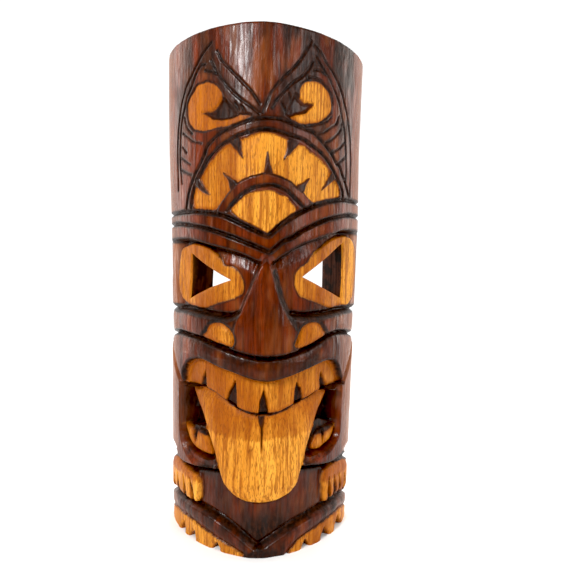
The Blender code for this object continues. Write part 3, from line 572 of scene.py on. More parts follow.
def tool_marks_and_sheen(s):
    """Chisel facets on the stained wood, tool chatter on the bare wood, softened saw edges, and a
    painted sheen that lightens the stain toward the log's sides.
    """
    facets = lattice_noise(s.u, s.v, 9, 16, 11) + 0.5 * lattice_noise(s.u, s.v, 4, 8, 12)
    chatter = lattice_noise(s.u, s.v, 2.6, 1.7, 13)
    grain = lattice_noise(s.u, s.v, 1.4, 26, 14)
    # Painted sheen: the stain is made lighter and redder toward the log's sides, where the lacquer
    # catches a glancing reflection.
    side_sheen = soft((np.abs(s.u) - 104) / 30) * (1 - s.bare)
    s.amber = s.amber * s.bare + side_sheen + 0.25 * (1 - s.bare) * soft(facets)
    s.depth += 0.26 * facets + 0.10 * chatter * s.bare + 0.12 * grain
    end = np.clip(1 - (SHEET_TALL - s.v) / 2.0, 0, 1)
    s.depth += 0.9 * end**2
    s.depth = np.maximum(s.depth, 0)


CARVING = (carve_forehead, carve_arches, carve_brow, carve_eyes, carve_cheeks, carve_nose,
           carve_upper_lip, carve_mouth, carve_belly, carve_tongue, carve_base, tool_marks_and_sheen)


# ---------------------------------------------------------------- the log

def section_scale(z):
    return BASE_SCALE + (1 - BASE_SCALE) * z / HEIGHT


def log_bow(z):
    return LOG_BOW * soft((0.85 - z / HEIGHT) / 0.25)


def section_table():
    """The top section's curve: girth from the crown, x, y, and the outward normal."""
    angle = np.linspace(-math.pi / 2, math.pi / 2, 2001)
    sine, cosine = np.sin(angle), np.abs(np.cos(angle))
    x = HALF_WIDTH * np.sign(sine) * np.abs(sine) ** (2 / ROUNDNESS)
    y = -DEPTH * cosine ** (2 / ROUNDNESS)
    girth = np.concatenate([[0], np.cumsum(np.hypot(np.diff(x), np.diff(y)))])
    girth -= girth[1000]
    along_x, along_y = np.gradient(x), np.gradient(y)
    length = np.hypot(along_x, along_y)
    return girth, x, y, along_y / length, -along_x / length


SECTION = section_table()


def on_log(u, v, depth):
    """World points of sheet points: arrays in sheet millimetres, depth in millimetres."""
    girth, x, y, normal_x, normal_y = SECTION
    s = np.clip(u * girth[-1] / SHEET_HALF, girth[0], girth[-1])
    z = v / SHEET_TALL * HEIGHT
    scale = section_scale(z)
    nx = np.interp(s, girth, normal_x)
    ny = np.interp(s, girth, normal_y)
    px = np.interp(s, girth, x) * scale + log_bow(z) - nx * depth * MM
    py = np.interp(s, girth, y) * scale + BACK - ny * depth * MM
    return np.stack([px, np.minimum(py, BACK), z], axis=-1)


# ---------------------------------------------------------------- mesh tools

def add_mesh(name, points, faces):
    mesh = bpy.data.meshes.new(name)
    mesh.from_pydata(points, [], faces)
    obj = bpy.data.objects.new(name, mesh)
    bpy.context.scene.collection.objects.link(obj)
    return obj


def apply_modifier(obj, modifier):
    with bpy.context.temp_override(object=obj, active_object=obj, selected_objects=[obj]):
        bpy.ops.object.modifier_apply(modifier=modifier.name)


def boolean(obj, cutter, operation):
    modifier = obj.modifiers.new("cut", "BOOLEAN")
    modifier.operation = operation
    modifier.solver = "EXACT"
    modifier.material_mode = "INDEX"
    modifier.object = cutter
    apply_modifier(obj, modifier)
    bpy.data.objects.remove(cutter)


def tube_faces(rows, count, closed=False):
    """Quads between rings of points in a row; closed joins the last ring to the first."""
    faces = []
    for row in range(rows if closed else rows - 1):
        near, far = row * count, (row + 1) % rows * count
        for k in range(count):
            after = (k + 1) % count
            faces.append((near + k, near + after, far + after, far + k))
    return faces


def end_faces(rows, count):
    return [tuple(range(count))[::-1], tuple(range((rows - 1) * count, rows * count))]


def corner_layers(obj, place, finish_and_light):
    """Give each face corner its place on the baked sheet and its share of each finish and of the
    painted light.
    """
    mesh = obj.data
    vertex_of = np.zeros(len(mesh.loops), int)
    mesh.loops.foreach_get("vertex_index", vertex_of)
    layer = mesh.uv_layers.new(name="OFBake")
    layer.data.foreach_set("uv", place[vertex_of].ravel())
    colour = mesh.color_attributes.new("finish_and_light", "FLOAT_COLOR", "CORNER")
    colour.data.foreach_set("color", finish_and_light[vertex_of].ravel())


def set_slots(obj, slots):
    """Material slots of the faces: one for all of them, or one for each."""
    each = np.broadcast_to(slots, len(obj.data.polygons)).astype(np.int32)
    obj.data.polygons.foreach_set("material_index", each)


def outward(obj):
    made = bmesh.new()
    made.from_mesh(obj.data)
    bmesh.ops.recalc_face_normals(made, faces=made.faces)
    made.to_mesh(obj.data)
    made.free()


def smooth(obj, sharp_degrees):
    obj.data.shade_smooth()
    obj.data.set_sharp_from_angle(angle=math.radians(sharp_degrees))


def make_cutter(name, points, faces, place, slot):
    """A closed solid that is cut away and leaves its faces' slot and places behind."""
    obj = add_mesh(name, points, faces)
    corner_layers(obj, np.array(place), np.tile(UNFINISHED, (len(points), 1)))
    set_slots(obj, slot)
    outward(obj)
    return obj


# ---------------------------------------------------------------- the body

SKIN, HOLLOW, EYE_WALL, SAWN, END = range(5)
UNFINISHED = (0.0, 0.0, 0.0, 1.0)

# Where the surfaces lie on the baked sheet, which is 1 wide and 1 high
SHEET_SCALE = 0.00196       # of the face, for one sheet millimetre
FACE_PLACE = (0.005, 0.01)
BACK_PLACE = (0.602, 0.01)
BASE_PLACE = (0.8175, 0.232)
TOP_PLACE = (0.8175, 0.012)
SCOOP_PLACE = (0.602, 0.52)
SCOOP_POLES = [(0.69, 0.515), (0.69, 0.925)]
EYE_PLACE_X = 0.822
EYE_PLACE_WIDE = 0.168
EYE_PLACE_TALL = 0.085
POCKET_PLACE_Y = 0.66
POCKET_PLACE_SCALE = 1.6    # for one metre


def carved_sheet():
    middle = np.linspace(-CARVED_REACH, CARVED_REACH, round(2 * CARVED_REACH / STEP) + 1)
    side_steps = round((SHEET_HALF - CARVED_REACH) / SIDE_STEP)
    side = np.linspace(CARVED_REACH, SHEET_HALF, side_steps + 1)[1:]
    across = np.concatenate([-side[::-1], middle, side])
    up = np.linspace(0, SHEET_TALL, round(SHEET_TALL / STEP) + 1)
    sheet = Sheet(across, up)
    for step in CARVING:
        step(sheet)
    return sheet


def skin_block(sheet):
    """The carved face, closed by the sawn back and the two sawn ends."""
    points = on_log(sheet.u, sheet.v, sheet.depth)
    points[:, (0, -1), 1] = BACK
    rows, columns = sheet.u.shape
    index = np.arange(rows * columns).reshape(rows, columns)
    quads = np.stack([index[:-1, :-1], index[:-1, 1:], index[1:, 1:], index[1:, :-1]], axis=-1)
    faces = quads.reshape(-1, 4).tolist()
    faces.append(index[0, ::-1].tolist())
    faces.append(index[-1].tolist())
    faces.append(index[:, 0].tolist() + index[::-1, -1].tolist())
    points = points.reshape(-1, 3)
    body = add_mesh("carved_body", points.tolist(), faces)
    place = np.stack([FACE_PLACE[0] + (sheet.u + SHEET_HALF) * SHEET_SCALE,
                      FACE_PLACE[1] + sheet.v * SHEET_SCALE], axis=-1).reshape(-1, 2)
    # The burn blurred outward: scorch round the burnt cuts, and also painted shade along the cuts
    # and under the teeth.
    smoke_and_shade = np.clip(blurred(sheet.burnt, 2) * 0.9 + blurred(sheet.burnt, 5) * 0.7, 0, 1)
    finish_and_light = np.stack([sheet.bare, sheet.burnt, smoke_and_shade, sheet.amber], axis=-1).reshape(-1, 4)
    corner_layers(body, place, finish_and_light)
    slots = np.full(len(faces), SKIN)
    slots[-3:] = (END, END, SAWN)
    set_slots(body, slots)
    flat_places(body, points)
    return body


def flat_places(body, points):
    """Places on the baked sheet for the base, the top and the back, at half the face's scale."""
    mesh = body.data
    scale = SHEET_SCALE / 2 / MM
    width, behind, up = points[:, 0] - LOW_X, BACK - points[:, 1], points[:, 2]
    layer = mesh.uv_layers["OFBake"].data
    colour = mesh.color_attributes["finish_and_light"].data
    flats = ((BASE_PLACE, behind, width), (TOP_PLACE, behind, width), (BACK_PLACE, width, up))
    for polygon, (place, along_u, along_v) in zip(mesh.polygons[-3:], flats):
        for corner in polygon.loop_indices:
            k = mesh.loops[corner].vertex_index
            layer[corner].uv = (place[0] + along_u[k] * scale, place[1] + along_v[k] * scale)
            colour[corner].color = UNFINISHED


def scoop():
    """The hollow behind, cut with a round gouge that leaves its long shallow flutes."""
    low, high = BASE_WALL, HEIGHT - TOP_WALL
    half, deep = HALF_WIDTH * BASE_SCALE - RAIL_WIDTH, DEPTH - FRONT_WALL
    cap = np.linspace(0, math.pi / 2, 15)[1:]
    ends = HOLLOW_END_ROUND * (1 - np.cos(cap))
    straight = np.linspace(low + HOLLOW_END_ROUND, high - HOLLOW_END_ROUND, 84)[1:-1]
    heights = np.concatenate([low + ends, straight, high - ends[::-1]])
    girth = np.concatenate([np.sin(cap), np.ones(len(straight)), np.sin(cap[::-1])])
    turn = np.linspace(0, 2 * math.pi, 97)[:-1]
    points = []
    along = turn * 60
    for z, share in zip(heights, girth):
        wide, into = half * share, deep * share
        level = np.full(turn.shape, z / MM)
        gouge = 0.7 * lattice_noise(along, level, 7.5, 34, 21)
        gouge += 0.25 * lattice_noise(along, level, 2.5, 9, 22)
        push = 1 + gouge * MM * np.where(np.sin(turn) > 0.05, 1, 0) / half
        points += np.stack([HOLLOW_SHIFT + wide * push * np.cos(turn),
                            BACK - into * push * np.sin(turn),
                            np.full(turn.shape, z)], axis=-1).tolist()
    count = len(turn)
    points += [[HOLLOW_SHIFT, BACK, low], [HOLLOW_SHIFT, BACK, high]]
    faces = tube_faces(len(heights), count)
    foot, head = len(points) - 2, len(points) - 1
    top = (len(heights) - 1) * count
    faces += [(foot, (k + 1) % count, k) for k in range(count)]
    faces += [(head, top + k, top + (k + 1) % count) for k in range(count)]
    place = [(SCOOP_PLACE[0] + 0.054 * t, SCOOP_PLACE[1] + (z - low) * 0.95)
             for z in heights for t in turn]
    return make_cutter("scoop", points, faces, place + SCOOP_POLES, HOLLOW)


def eye_cutter(name, corner_points, side, lean, low_v):
    """A three-sided hole through the wall, leaning in toward the mask's middle."""
    outline = []
    for (au, av), (bu, bv) in zip(corner_points, corner_points[1:] + corner_points[:1]):
        for t in np.linspace(0, 1, 9)[:-1]:
            bulge = EYE_SIDE_BULGE * math.sin(math.pi * t)
            length = math.hypot(bu - au, bv - av)
            outline.append((au + (bu - au) * t - (bv - av) / length * bulge * side,
                            av + (bv - av) * t + (bu - au) / length * bulge * side))
    u, v = np.array(outline).T
    face = on_log(u, v, np.full(len(u), EYE_RIM_DEPTH))
    way = np.array([-side * math.sin(lean), math.cos(lean), 0])
    count, rows = len(face), 18
    points = np.vstack([face + way * far for far in np.linspace(EYE_CUT_START, EYE_CUT_END, rows)])
    x, y, z = points.T / MM
    chips = [lattice_noise(y, z, 5, 3, 31), np.zeros(len(points)), lattice_noise(y, x, 5, 3, 32)]
    points += MM * 0.25 * np.stack(chips, axis=-1)
    faces = tube_faces(rows, count) + end_faces(rows, count)
    place = [(EYE_PLACE_X + EYE_PLACE_WIDE * k / count, low_v + EYE_PLACE_TALL * r / (rows - 1))
             for r in range(rows) for k in range(count)]
    obj = make_cutter(name, points.tolist(), faces, place, EYE_WALL)
    wrap_last(obj, count, EYE_PLACE_X + EYE_PLACE_WIDE)
    return obj


def wrap_last(obj, count, end):
    """The wall's last column of faces runs up to the strip's end, not back across it."""
    layer = obj.data.uv_layers["OFBake"].data
    for polygon in obj.data.polygons:
        if polygon.loop_total != 4:
            continue
        corners_here = list(polygon.loop_indices)
        columns = [obj.data.loops[c].vertex_index % count for c in corners_here]
        if max(columns) - min(columns) > 1:
            for corner, column in zip(corners_here, columns):
                if column == 0:
                    layer[corner].uv[0] = end


def pocket(side_name, low_u):
    """The round-cornered pocket that a hanger lies in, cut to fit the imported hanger."""
    ring_low, ring_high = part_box(side_name + "_hanger_ring")
    strap_low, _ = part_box(side_name + "_hanger_strap")
    middle = (ring_low.x + ring_high.x) / 2
    half = (ring_high.x - ring_low.x) / 2 + POCKET_SIDE_ROOM
    axis = ring_high.z - RING_WIRE / 2
    low, high = strap_low.z - POCKET_END_ROOM, 2 * axis - ring_low.z + POCKET_END_ROOM
    straight_x, straight_z = half - POCKET_CORNER, (high - low) / 2 - POCKET_CORNER
    outline = []
    for cx, cz, start in ((1, 1, 0), (-1, 1, 90), (-1, -1, 180), (1, -1, 270)):
        for turn in np.radians(start + np.linspace(0, 90, 7)):
            outline.append((middle + cx * straight_x + POCKET_CORNER * math.cos(turn),
                            (low + high) / 2 + cz * straight_z + POCKET_CORNER * math.sin(turn)))
    points = [(x, y, z) for y in (strap_low.y - GAP, BACK + 0.004) for x, z in outline]
    faces = tube_faces(2, len(outline)) + end_faces(2, len(outline))
    place = [(low_u + (x - middle + half) * POCKET_PLACE_SCALE,
              POCKET_PLACE_Y + (z - low) * POCKET_PLACE_SCALE) for x, _, z in points]
    return make_cutter(side_name + "_pocket", points, faces, place, SAWN)


def make_body(materials):
    body = skin_block(carved_sheet())
    outward(body)
    cutter = scoop()
    boolean(cutter, eye_cutter("left_eye", LEFT_EYE_HOLE, -1, LEFT_EYE_LEAN, 0.45), "UNION")
    boolean(cutter, eye_cutter("right_eye", RIGHT_EYE_HOLE, 1, RIGHT_EYE_LEAN, 0.55), "UNION")
    boolean(cutter, pocket("left", 0.825), "UNION")
    boolean(cutter, pocket("right", 0.89), "UNION")
    boolean(body, cutter, "DIFFERENCE")
    for material in materials:
        body.data.materials.append(material)
    smooth(body, 50)
    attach(body, "mask")
    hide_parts("mask_body")
    return body


# ---------------------------------------------------------------- node helpers

class Nodes:
    """Short names for building a material's node tree."""

    def __init__(self, name):
        self.material = bpy.data.materials.new(name)
        self.material.use_nodes = True
        self.tree = self.material.node_tree
        self.shader = self.tree.nodes["Principled BSDF"]
        self.where = self.tree.nodes.new("ShaderNodeTexCoord").outputs["Object"]

    def link(self, source, target):
        self.tree.links.new(source, target)

    def feed(self, node, key, value):
        if isinstance(value, bpy.types.NodeSocket):
            self.link(value, node.inputs[key])
        elif value is not None:
            node.inputs[key].default_value = value

    def paint(self, colour, rough):
        self.feed(self.shader, "Base Color", colour)
        self.feed(self.shader, "Roughness", rough)

    def axes(self):
        """The X, Y and Z of the place that is shaded."""
        node = self.tree.nodes.new("ShaderNodeSeparateXYZ")
        self.link(self.where, node.inputs["Vector"])
        return node.outputs

    def noise(self, per_metre, detail=3.0, roughness=0.5, distortion=0.0):
        """Noise with that many features in a metre along X, Y and Z."""
        stretch = self.tree.nodes.new("ShaderNodeMapping")
        self.feed(stretch, "Scale", per_metre)
        self.link(self.where, stretch.inputs["Vector"])
        node = self.tree.nodes.new("ShaderNodeTexNoise")
        for key, given in (("Vector", stretch.outputs["Vector"]), ("Scale", 1.0),
                           ("Detail", detail), ("Roughness", roughness),
                           ("Distortion", distortion)):
            self.feed(node, key, given)
        return node.outputs["Fac"]

    def span(self, value, low, high, out_low=0.0, out_high=1.0):
        node = self.tree.nodes.new("ShaderNodeMapRange")
        node.interpolation_type = "SMOOTHSTEP"
        for key, given in (("Value", value), ("From Min", low), ("From Max", high),
                           ("To Min", out_low), ("To Max", out_high)):
            self.feed(node, key, given)
        return node.outputs["Result"]

    def math(self, operation, a, b=None):
        node = self.tree.nodes.new("ShaderNodeMath")
        node.operation = operation
        self.feed(node, 0, a)
        self.feed(node, 1, b)
        return node.outputs["Value"]

    def mix(self, share, a, b):
        node = self.tree.nodes.new("ShaderNodeMix")
        node.data_type = "RGBA"
        self.feed(node, 0, share)
        for key, given in ((6, a), (7, b)):
            self.feed(node, key, (*given, 1) if isinstance(given, tuple) else given)
        return node.outputs[2]

    def attribute(self, name):
        node = self.tree.nodes.new("ShaderNodeAttribute")
        node.attribute_name = name
        split = self.tree.nodes.new("ShaderNodeSeparateColor")
        self.link(node.outputs["Color"], split.inputs["Color"])
        return (split.outputs["Red"], split.outputs["Green"], split.outputs["Blue"],
                node.outputs["Alpha"])

    def bump(self, height, distance, strength):
        node = self.tree.nodes.new("ShaderNodeBump")
        for key, given in (("Height", height), ("Distance", distance), ("Strength", strength)):
            self.feed(node, key, given)
        self.link(node.outputs["Normal"], self.shader.inputs["Normal"])


# ---------------------------------------------------------------- materials

def wood_grain(n):
    """Long streaks, fine fibres and pores of a log that stands upright."""
    streaks = n.noise((70, 70, 5.5), 4.0, 0.6, 0.4)
    fibres = n.noise((420, 420, 14), 3.0, 0.6)
    pores = n.noise((1300, 1300, 150), 2.0, 0.5)
    return streaks, fibres, pores


def carved_wood():
    n = Nodes("carved_wood")
    bare, burnt, smoke_and_shade, amber = n.attribute("finish_and_light")
    streaks, fibres, pores = wood_grain(n)
    blotch = n.noise((22, 22, 14), 3.0, 0.55)
    broad = n.noise((55, 55, 9), 3.0, 0.6)
    speck = n.noise((300, 300, 160), 2.0, 0.6)

    stain = n.mix(n.span(streaks, 0.3, 0.72), (0.045, 0.0065, 0.0012), (0.170, 0.0230, 0.0020))
    stain = n.mix(n.span(fibres, 0.45, 0.7, 0, 0.65), stain, (0.018, 0.0040, 0.0016))
    stain = n.mix(n.span(broad, 0.52, 0.72, 0, 0.7), stain, (0.205, 0.0520, 0.0095))
    stain = n.mix(n.span(blotch, 0.55, 0.75, 0, 0.5), stain, (0.040, 0.0100, 0.0035))
    # Lighter, redder stain: at random on chisel facets, and as a painted sheen toward the log's
    # sides.
    stain = n.mix(n.math("MULTIPLY", amber, 0.8), stain, (0.27, 0.088, 0.026))
    # Darker round burnt cuts: scorch, and painted shade along the cuts and under the teeth.
    stain = n.mix(n.span(smoke_and_shade, 0.25, 1.0, 0, 0.8), stain, (0.018, 0.0055, 0.0020))

    gold = n.mix(n.span(streaks, 0.32, 0.7), (0.58, 0.205, 0.015), (0.83, 0.365, 0.045))
    dusk = n.mix(n.span(streaks, 0.32, 0.7), (0.27, 0.062, 0.002), (0.46, 0.134, 0.006))
    tone = n.math("ADD", amber, n.span(blotch, 0.35, 0.72, -0.22, 0.34))
    # The bare wood also darkens round burnt cuts: scorch, and painted shade.
    tone = n.math("ADD", tone, n.span(smoke_and_shade, 0.12, 0.75, 0.0, 0.75))
    wood = n.mix(n.span(tone, 0.0, 1.0), gold, dusk)
    wood = n.mix(n.span(fibres, 0.44, 0.64, 0, 0.8), wood, (0.27, 0.064, 0.005))
    wood = n.mix(n.span(pores, 0.53, 0.66, 0, 0.65), wood, (0.14, 0.033, 0.004))
    wood = n.mix(n.span(smoke_and_shade, 0.45, 1.1, 0, 0.8), wood, (0.090, 0.0220, 0.0060))

    char = n.mix(n.span(speck, 0.42, 0.7), (0.0065, 0.0035, 0.0025), (0.040, 0.0120, 0.0050))
    patchy = n.span(n.noise((90, 90, 70), 2.0, 0.5), 0.35, 0.65, 0.75, 1.0)
    colour = n.mix(bare, stain, wood)
    colour = n.mix(n.math("MULTIPLY", burnt, patchy), colour, char)

    rough = n.span(blotch, 0.3, 0.7, 0.26, 0.38)
    rough = n.math("ADD", rough, n.math("MULTIPLY", bare, 0.14))
    rough = n.math("ADD", rough, n.math("MULTIPLY", burnt, 0.12))
    n.paint(colour, rough)
    n.shader.inputs["Specular IOR Level"].default_value = 0.13
    n.shader.inputs["Coat Roughness"].default_value = 0.21
    glossy = n.math("SUBTRACT", 1.0, n.math("MAXIMUM", bare, n.math("MULTIPLY", burnt, 0.5)))
    sheen = n.span(n.noise((380, 380, 45), 3.0, 0.65), 0.4, 0.62, 0.04, 0.38)
    n.link(n.math("MULTIPLY", glossy, sheen), n.shader.inputs["Coat Weight"])

    ripple = n.noise((240, 240, 130), 3.0, 0.6)
    height = n.math("ADD", n.math("MULTIPLY", fibres, 0.6), n.math("MULTIPLY", pores, 0.3))
    height = n.math("ADD", height, n.math("MULTIPLY", ripple, 1.1))
    n.bump(height, 0.0006, 0.8)
    return n.material


def gouged_wood():
    """The unfinished inside: raw pale fibre that the gouge tore, dulled by thin stain."""
    n = Nodes("gouged_wood")
    streaks, fibres, pores = wood_grain(n)
    blotch = n.noise((26, 26, 12), 3.0, 0.6)
    wood = n.mix(n.span(streaks, 0.3, 0.7), (0.40, 0.200, 0.085), (0.54, 0.310, 0.150))
    wood = n.mix(n.span(fibres, 0.48, 0.72, 0, 0.6), wood, (0.27, 0.115, 0.042))
    wood = n.mix(n.span(blotch, 0.48, 0.75, 0, 0.55), wood, (0.22, 0.085, 0.030))
    n.paint(wood, n.span(pores, 0.3, 0.7, 0.62, 0.85))
    torn = n.noise((260, 260, 34), 4.0, 0.7)
    n.bump(n.math("ADD", torn, fibres), 0.0006, 0.8)
    return n.material


def eye_wall_wood():
    """The sides of the eye holes: bare at the rim, and painted darker further in, for the shade
    inside the hole.
    """
    n = Nodes("eye_wall_wood")
    streaks, fibres, _ = wood_grain(n)
    # Painted shade: the wall goes from bare to near black further into the hole.
    inside = n.span(n.axes()["Y"], -0.020, 0.012)
    bare = n.mix(n.span(streaks, 0.3, 0.7), (0.36, 0.120, 0.026), (0.50, 0.190, 0.045))
    blotch = n.noise((60, 60, 60), 3.0, 0.6)
    dark = n.mix(n.span(fibres, 0.4, 0.7), (0.070, 0.0170, 0.0050), (0.018, 0.0060, 0.0030))
    dark = n.mix(n.span(blotch, 0.46, 0.6, 0, 0.9), dark, (0.006, 0.0030, 0.0020))
    n.shader.inputs["Specular IOR Level"].default_value = 0.12
    n.paint(n.mix(inside, bare, dark), n.span(fibres, 0.3, 0.7, 0.5, 0.7))
    n.bump(n.math("ADD", fibres, streaks), 0.0004, 0.7)
    return n.material


def sawn_wood():
    """The flat back: straight from the saw, with its faint upright kerf marks."""
    n = Nodes("sawn_wood")
    streaks, fibres, pores = wood_grain(n)
    kerf = n.noise((6, 6, 900), 2.0, 0.5, 0.1)
    blotch = n.noise((18, 18, 9), 3.0, 0.6)
    wood = n.mix(n.span(streaks, 0.3, 0.7), (0.36, 0.180, 0.078), (0.50, 0.290, 0.140))
    wood = n.mix(n.span(fibres, 0.5, 0.74, 0, 0.5), wood, (0.30, 0.130, 0.050))
    wood = n.mix(n.span(kerf, 0.5, 0.7, 0, 0.25), wood, (0.30, 0.150, 0.070))
    wood = n.mix(n.span(blotch, 0.52, 0.76, 0, 0.45), wood, (0.26, 0.110, 0.040))
    n.paint(wood, n.span(pores, 0.3, 0.7, 0.58, 0.78))
    n.bump(n.math("ADD", kerf, n.math("MULTIPLY", fibres, 0.6)), 0.0004, 0.6)
    return n.material


def end_grain():
    """The sawn ends: growth rings round the log's heart, under dark stain."""
    n = Nodes("end_grain")
    x, y, _ = n.axes().values()
    wander = n.noise((16, 16, 1), 3.0, 0.5)
    behind = n.math("SUBTRACT", y, BACK + 0.012)
    square = n.math("ADD", n.math("MULTIPLY", x, x), n.math("MULTIPLY", behind, behind))
    radius = n.math("ADD", n.math("SQRT", square), n.math("MULTIPLY", wander, 0.018))
    ring = n.math("SINE", n.math("MULTIPLY", radius, 1900.0))
    specks = n.noise((900, 900, 40), 2.0, 0.6)
    wood = n.mix(n.span(ring, -0.6, 0.9), (0.20, 0.062, 0.018), (0.090, 0.0240, 0.0080))
    wood = n.mix(n.span(specks, 0.55, 0.72, 0, 0.6), wood, (0.030, 0.0100, 0.0050))
    wood = n.mix(n.span(n.noise((30, 30, 8)), 0.5, 0.75, 0, 0.5), wood,
                 (0.28, 0.105, 0.034))
    n.paint(wood, n.span(specks, 0.3, 0.7, 0.45, 0.65))
    n.bump(n.math("ADD", ring, specks), 0.00015, 0.6)
    return n.material


def zinc_steel(name, tint, scratch):
    """Bright zinc plate with a faint spangle, drawn or stamped marks and dull spots."""
    n = Nodes(name)
    cloud = n.noise((420, 420, 420), 3.0, 0.6)
    marks = n.noise(scratch, 2.0, 0.5)
    dull = n.noise((160, 160, 160), 2.0, 0.5)
    bright = tuple(c * 1.12 for c in tint)
    colour = n.mix(n.span(cloud, 0.35, 0.7), tint, bright)
    colour = n.mix(n.span(dull, 0.58, 0.78, 0, 0.6), colour, (0.34, 0.31, 0.27))
    n.shader.inputs["Metallic"].default_value = 1.0
    n.paint(colour, n.math("ADD", n.span(cloud, 0.3, 0.7, 0.26, 0.40),
                           n.span(dull, 0.55, 0.78, 0.0, 0.22)))
    n.bump(n.math("ADD", marks, n.math("MULTIPLY", cloud, 0.4)), 0.00006, 0.6)
    return n.material


# ---------------------------------------------------------------- the hangers

def soften_edges(obj, width, segments):
    bevel = obj.modifiers.new("edges", "BEVEL")
    bevel.width = width
    bevel.segments = segments
    bevel.angle_limit = math.radians(40)
    apply_modifier(obj, bevel)
    smooth(obj, 40)


def lathe(name, profile, steps, middle):
    """A turned piece round Y: profile points are (radius, y) from the front of the head."""
    points = []
    for radius, y in profile:
        for turn in np.linspace(0, 2 * math.pi, steps, endpoint=False):
            points.append((middle[0] + radius * math.cos(turn), middle[1] + y,
                           middle[2] + radius * math.sin(turn)))
    rows = len(profile)
    obj = add_mesh(name, points, tube_faces(rows, steps) + end_faces(rows, steps))
    outward(obj)
    return obj


def block(name, low, high):
    points = [(x, y, z) for x in (low[0], high[0]) for y in (low[1], high[1])
              for z in (low[2], high[2])]
    faces = [(0, 1, 3, 2), (4, 6, 7, 5), (0, 4, 5, 1), (2, 3, 7, 6), (0, 2, 6, 4), (1, 5, 7, 3)]
    obj = add_mesh(name, points, faces)
    outward(obj)
    return obj


def hinge_line(side_name):
    """Y and Z of the ring's bar, in the middle of the strap's rolled head."""
    ring_low, ring_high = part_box(side_name + "_hanger_ring")
    low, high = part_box(side_name + "_hanger_strap")
    y = (ring_low.y + ring_high.y) / 2
    return y, high.z - (y - low.y)


def make_ring(side_name, metal):
    """The D of drawn wire, its corners bent to a small radius and its ends butted in the eye."""
    low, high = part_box(side_name + "_hanger_ring")
    wire = (high.y - low.y) / 2
    middle = (low.x + high.x) / 2
    y, top = hinge_line(side_name)
    half = (high.x - low.x) / 2 - wire
    bottom, corner = low.z + wire, RING_CORNER
    quarter = np.radians(np.linspace(0, 90, 7))
    line = [(half - corner + corner * math.sin(t), top - corner + corner * math.cos(t))
            for t in quarter]
    line += [(half * math.cos(t), bottom + half - half * math.sin(t))
             for t in np.linspace(0, math.pi, 25)]
    line += [(-half + corner - corner * math.cos(t), top - corner + corner * math.sin(t))
             for t in quarter]
    points, count, steps = [], len(line), 16
    for k, (px, pz) in enumerate(line):
        before, after = line[k - 1], line[(k + 1) % count]
        way = Vector((after[0] - before[0], 0, after[1] - before[1])).normalized()
        out = Vector((way.z, 0, -way.x))
        for turn in np.linspace(0, 2 * math.pi, steps, endpoint=False):
            spot = Vector((middle + px, y, pz)) + out * wire * math.cos(turn)
            spot.y += wire * math.sin(turn)
            points.append(tuple(spot))
    obj = add_mesh(side_name + "_ring_wire", points, tube_faces(count, steps, closed=True))
    outward(obj)
    obj.data.shade_smooth()
    finish_metal(obj, metal, side_name + "_ring", side_name + "_hanger_ring")


def make_strap(side_name, metal):
    """A strip with a rounded foot, and its head rolled round the bar."""
    low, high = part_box(side_name + "_hanger_strap")
    axis_y, axis_z = hinge_line(side_name)
    middle, half = (low.x + high.x) / 2, (high.x - low.x) / 2
    outer = axis_y - low.y
    inner = outer - STRAP_ROLL_THICKNESS
    rows = []
    for z in np.linspace(low.z, axis_z - 0.0035, 18):
        inset = half - z + low.z
        wide = half if inset < 0 else math.sqrt(max(half * half - inset * inset, 0))
        rows.append((max(wide, half * 0.12), (low.y, z), (low.y + STRAP_THICKNESS, z)))
    for turn in np.radians(np.linspace(0, STRAP_ROLL_DEGREES, 34)):
        dy, dz = -math.cos(turn), math.sin(turn)
        rows.append((half, (axis_y + outer * dy, axis_z + outer * dz),
                     (axis_y + inner * dy, axis_z + inner * dz)))
    points, faces = [], []
    for wide, back, front in rows:
        for side in (-1, 1):
            points += [(middle + side * wide, *back), (middle + side * wide, *front)]
    for r in range(len(rows) - 1):
        a = r * 4
        for i, j in ((0, 1), (1, 3), (3, 2), (2, 0)):
            faces.append((a + i, a + j, a + 4 + j, a + 4 + i))
    faces += [(0, 2, 3, 1), tuple(len(points) - k for k in (4, 3, 1, 2))]
    obj = add_mesh(side_name + "_strap_plate", points, faces)
    outward(obj)
    soften_edges(obj, 0.00018, 2)
    finish_metal(obj, metal, "mask", side_name + "_hanger_strap")


def make_screw(side_name, metal):
    """A domed wood screw with a milled slot; its shank is in the rail."""
    low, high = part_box(side_name + "_hanger_screw")
    strap_low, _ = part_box(side_name + "_hanger_strap")
    middle = ((low.x + high.x) / 2, 0, (low.z + high.z) / 2)
    radius = (high.x - low.x) / 2
    seat = strap_low.y + STRAP_THICKNESS + GAP
    rise = high.y - seat
    dome = [(radius * math.sin(t), seat + rise * math.cos(t))
            for t in np.radians(np.linspace(6, 84, 9))]
    shank = SCREW_SHANK / 2
    profile = dome + [(radius, seat + 0.0001), (radius * 0.97, seat), (shank, seat),
                      (shank, low.y + 2 * shank), (0.0002, low.y)]
    obj = lathe(side_name + "_screw_head", profile, 40, middle)
    slot = block("slot", (-SLOT_WIDTH / 2, high.y - SLOT_DEPTH, -radius * 1.8),
                 (SLOT_WIDTH / 2, high.y + SLOT_DEPTH, radius * 1.8))
    slot.data.transform(Matrix.Translation(middle)
                        @ Matrix.Rotation(SLOT_TURN[side_name], 4, "Y"))
    boolean(obj, slot, "DIFFERENCE")
    smooth(obj, 35)
    finish_metal(obj, metal, "mask", side_name + "_hanger_screw")


def finish_metal(obj, metal, body, node):
    obj.data.materials.append(metal)
    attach(obj, body)
    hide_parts(node)


# ---------------------------------------------------------------- stage, light and camera

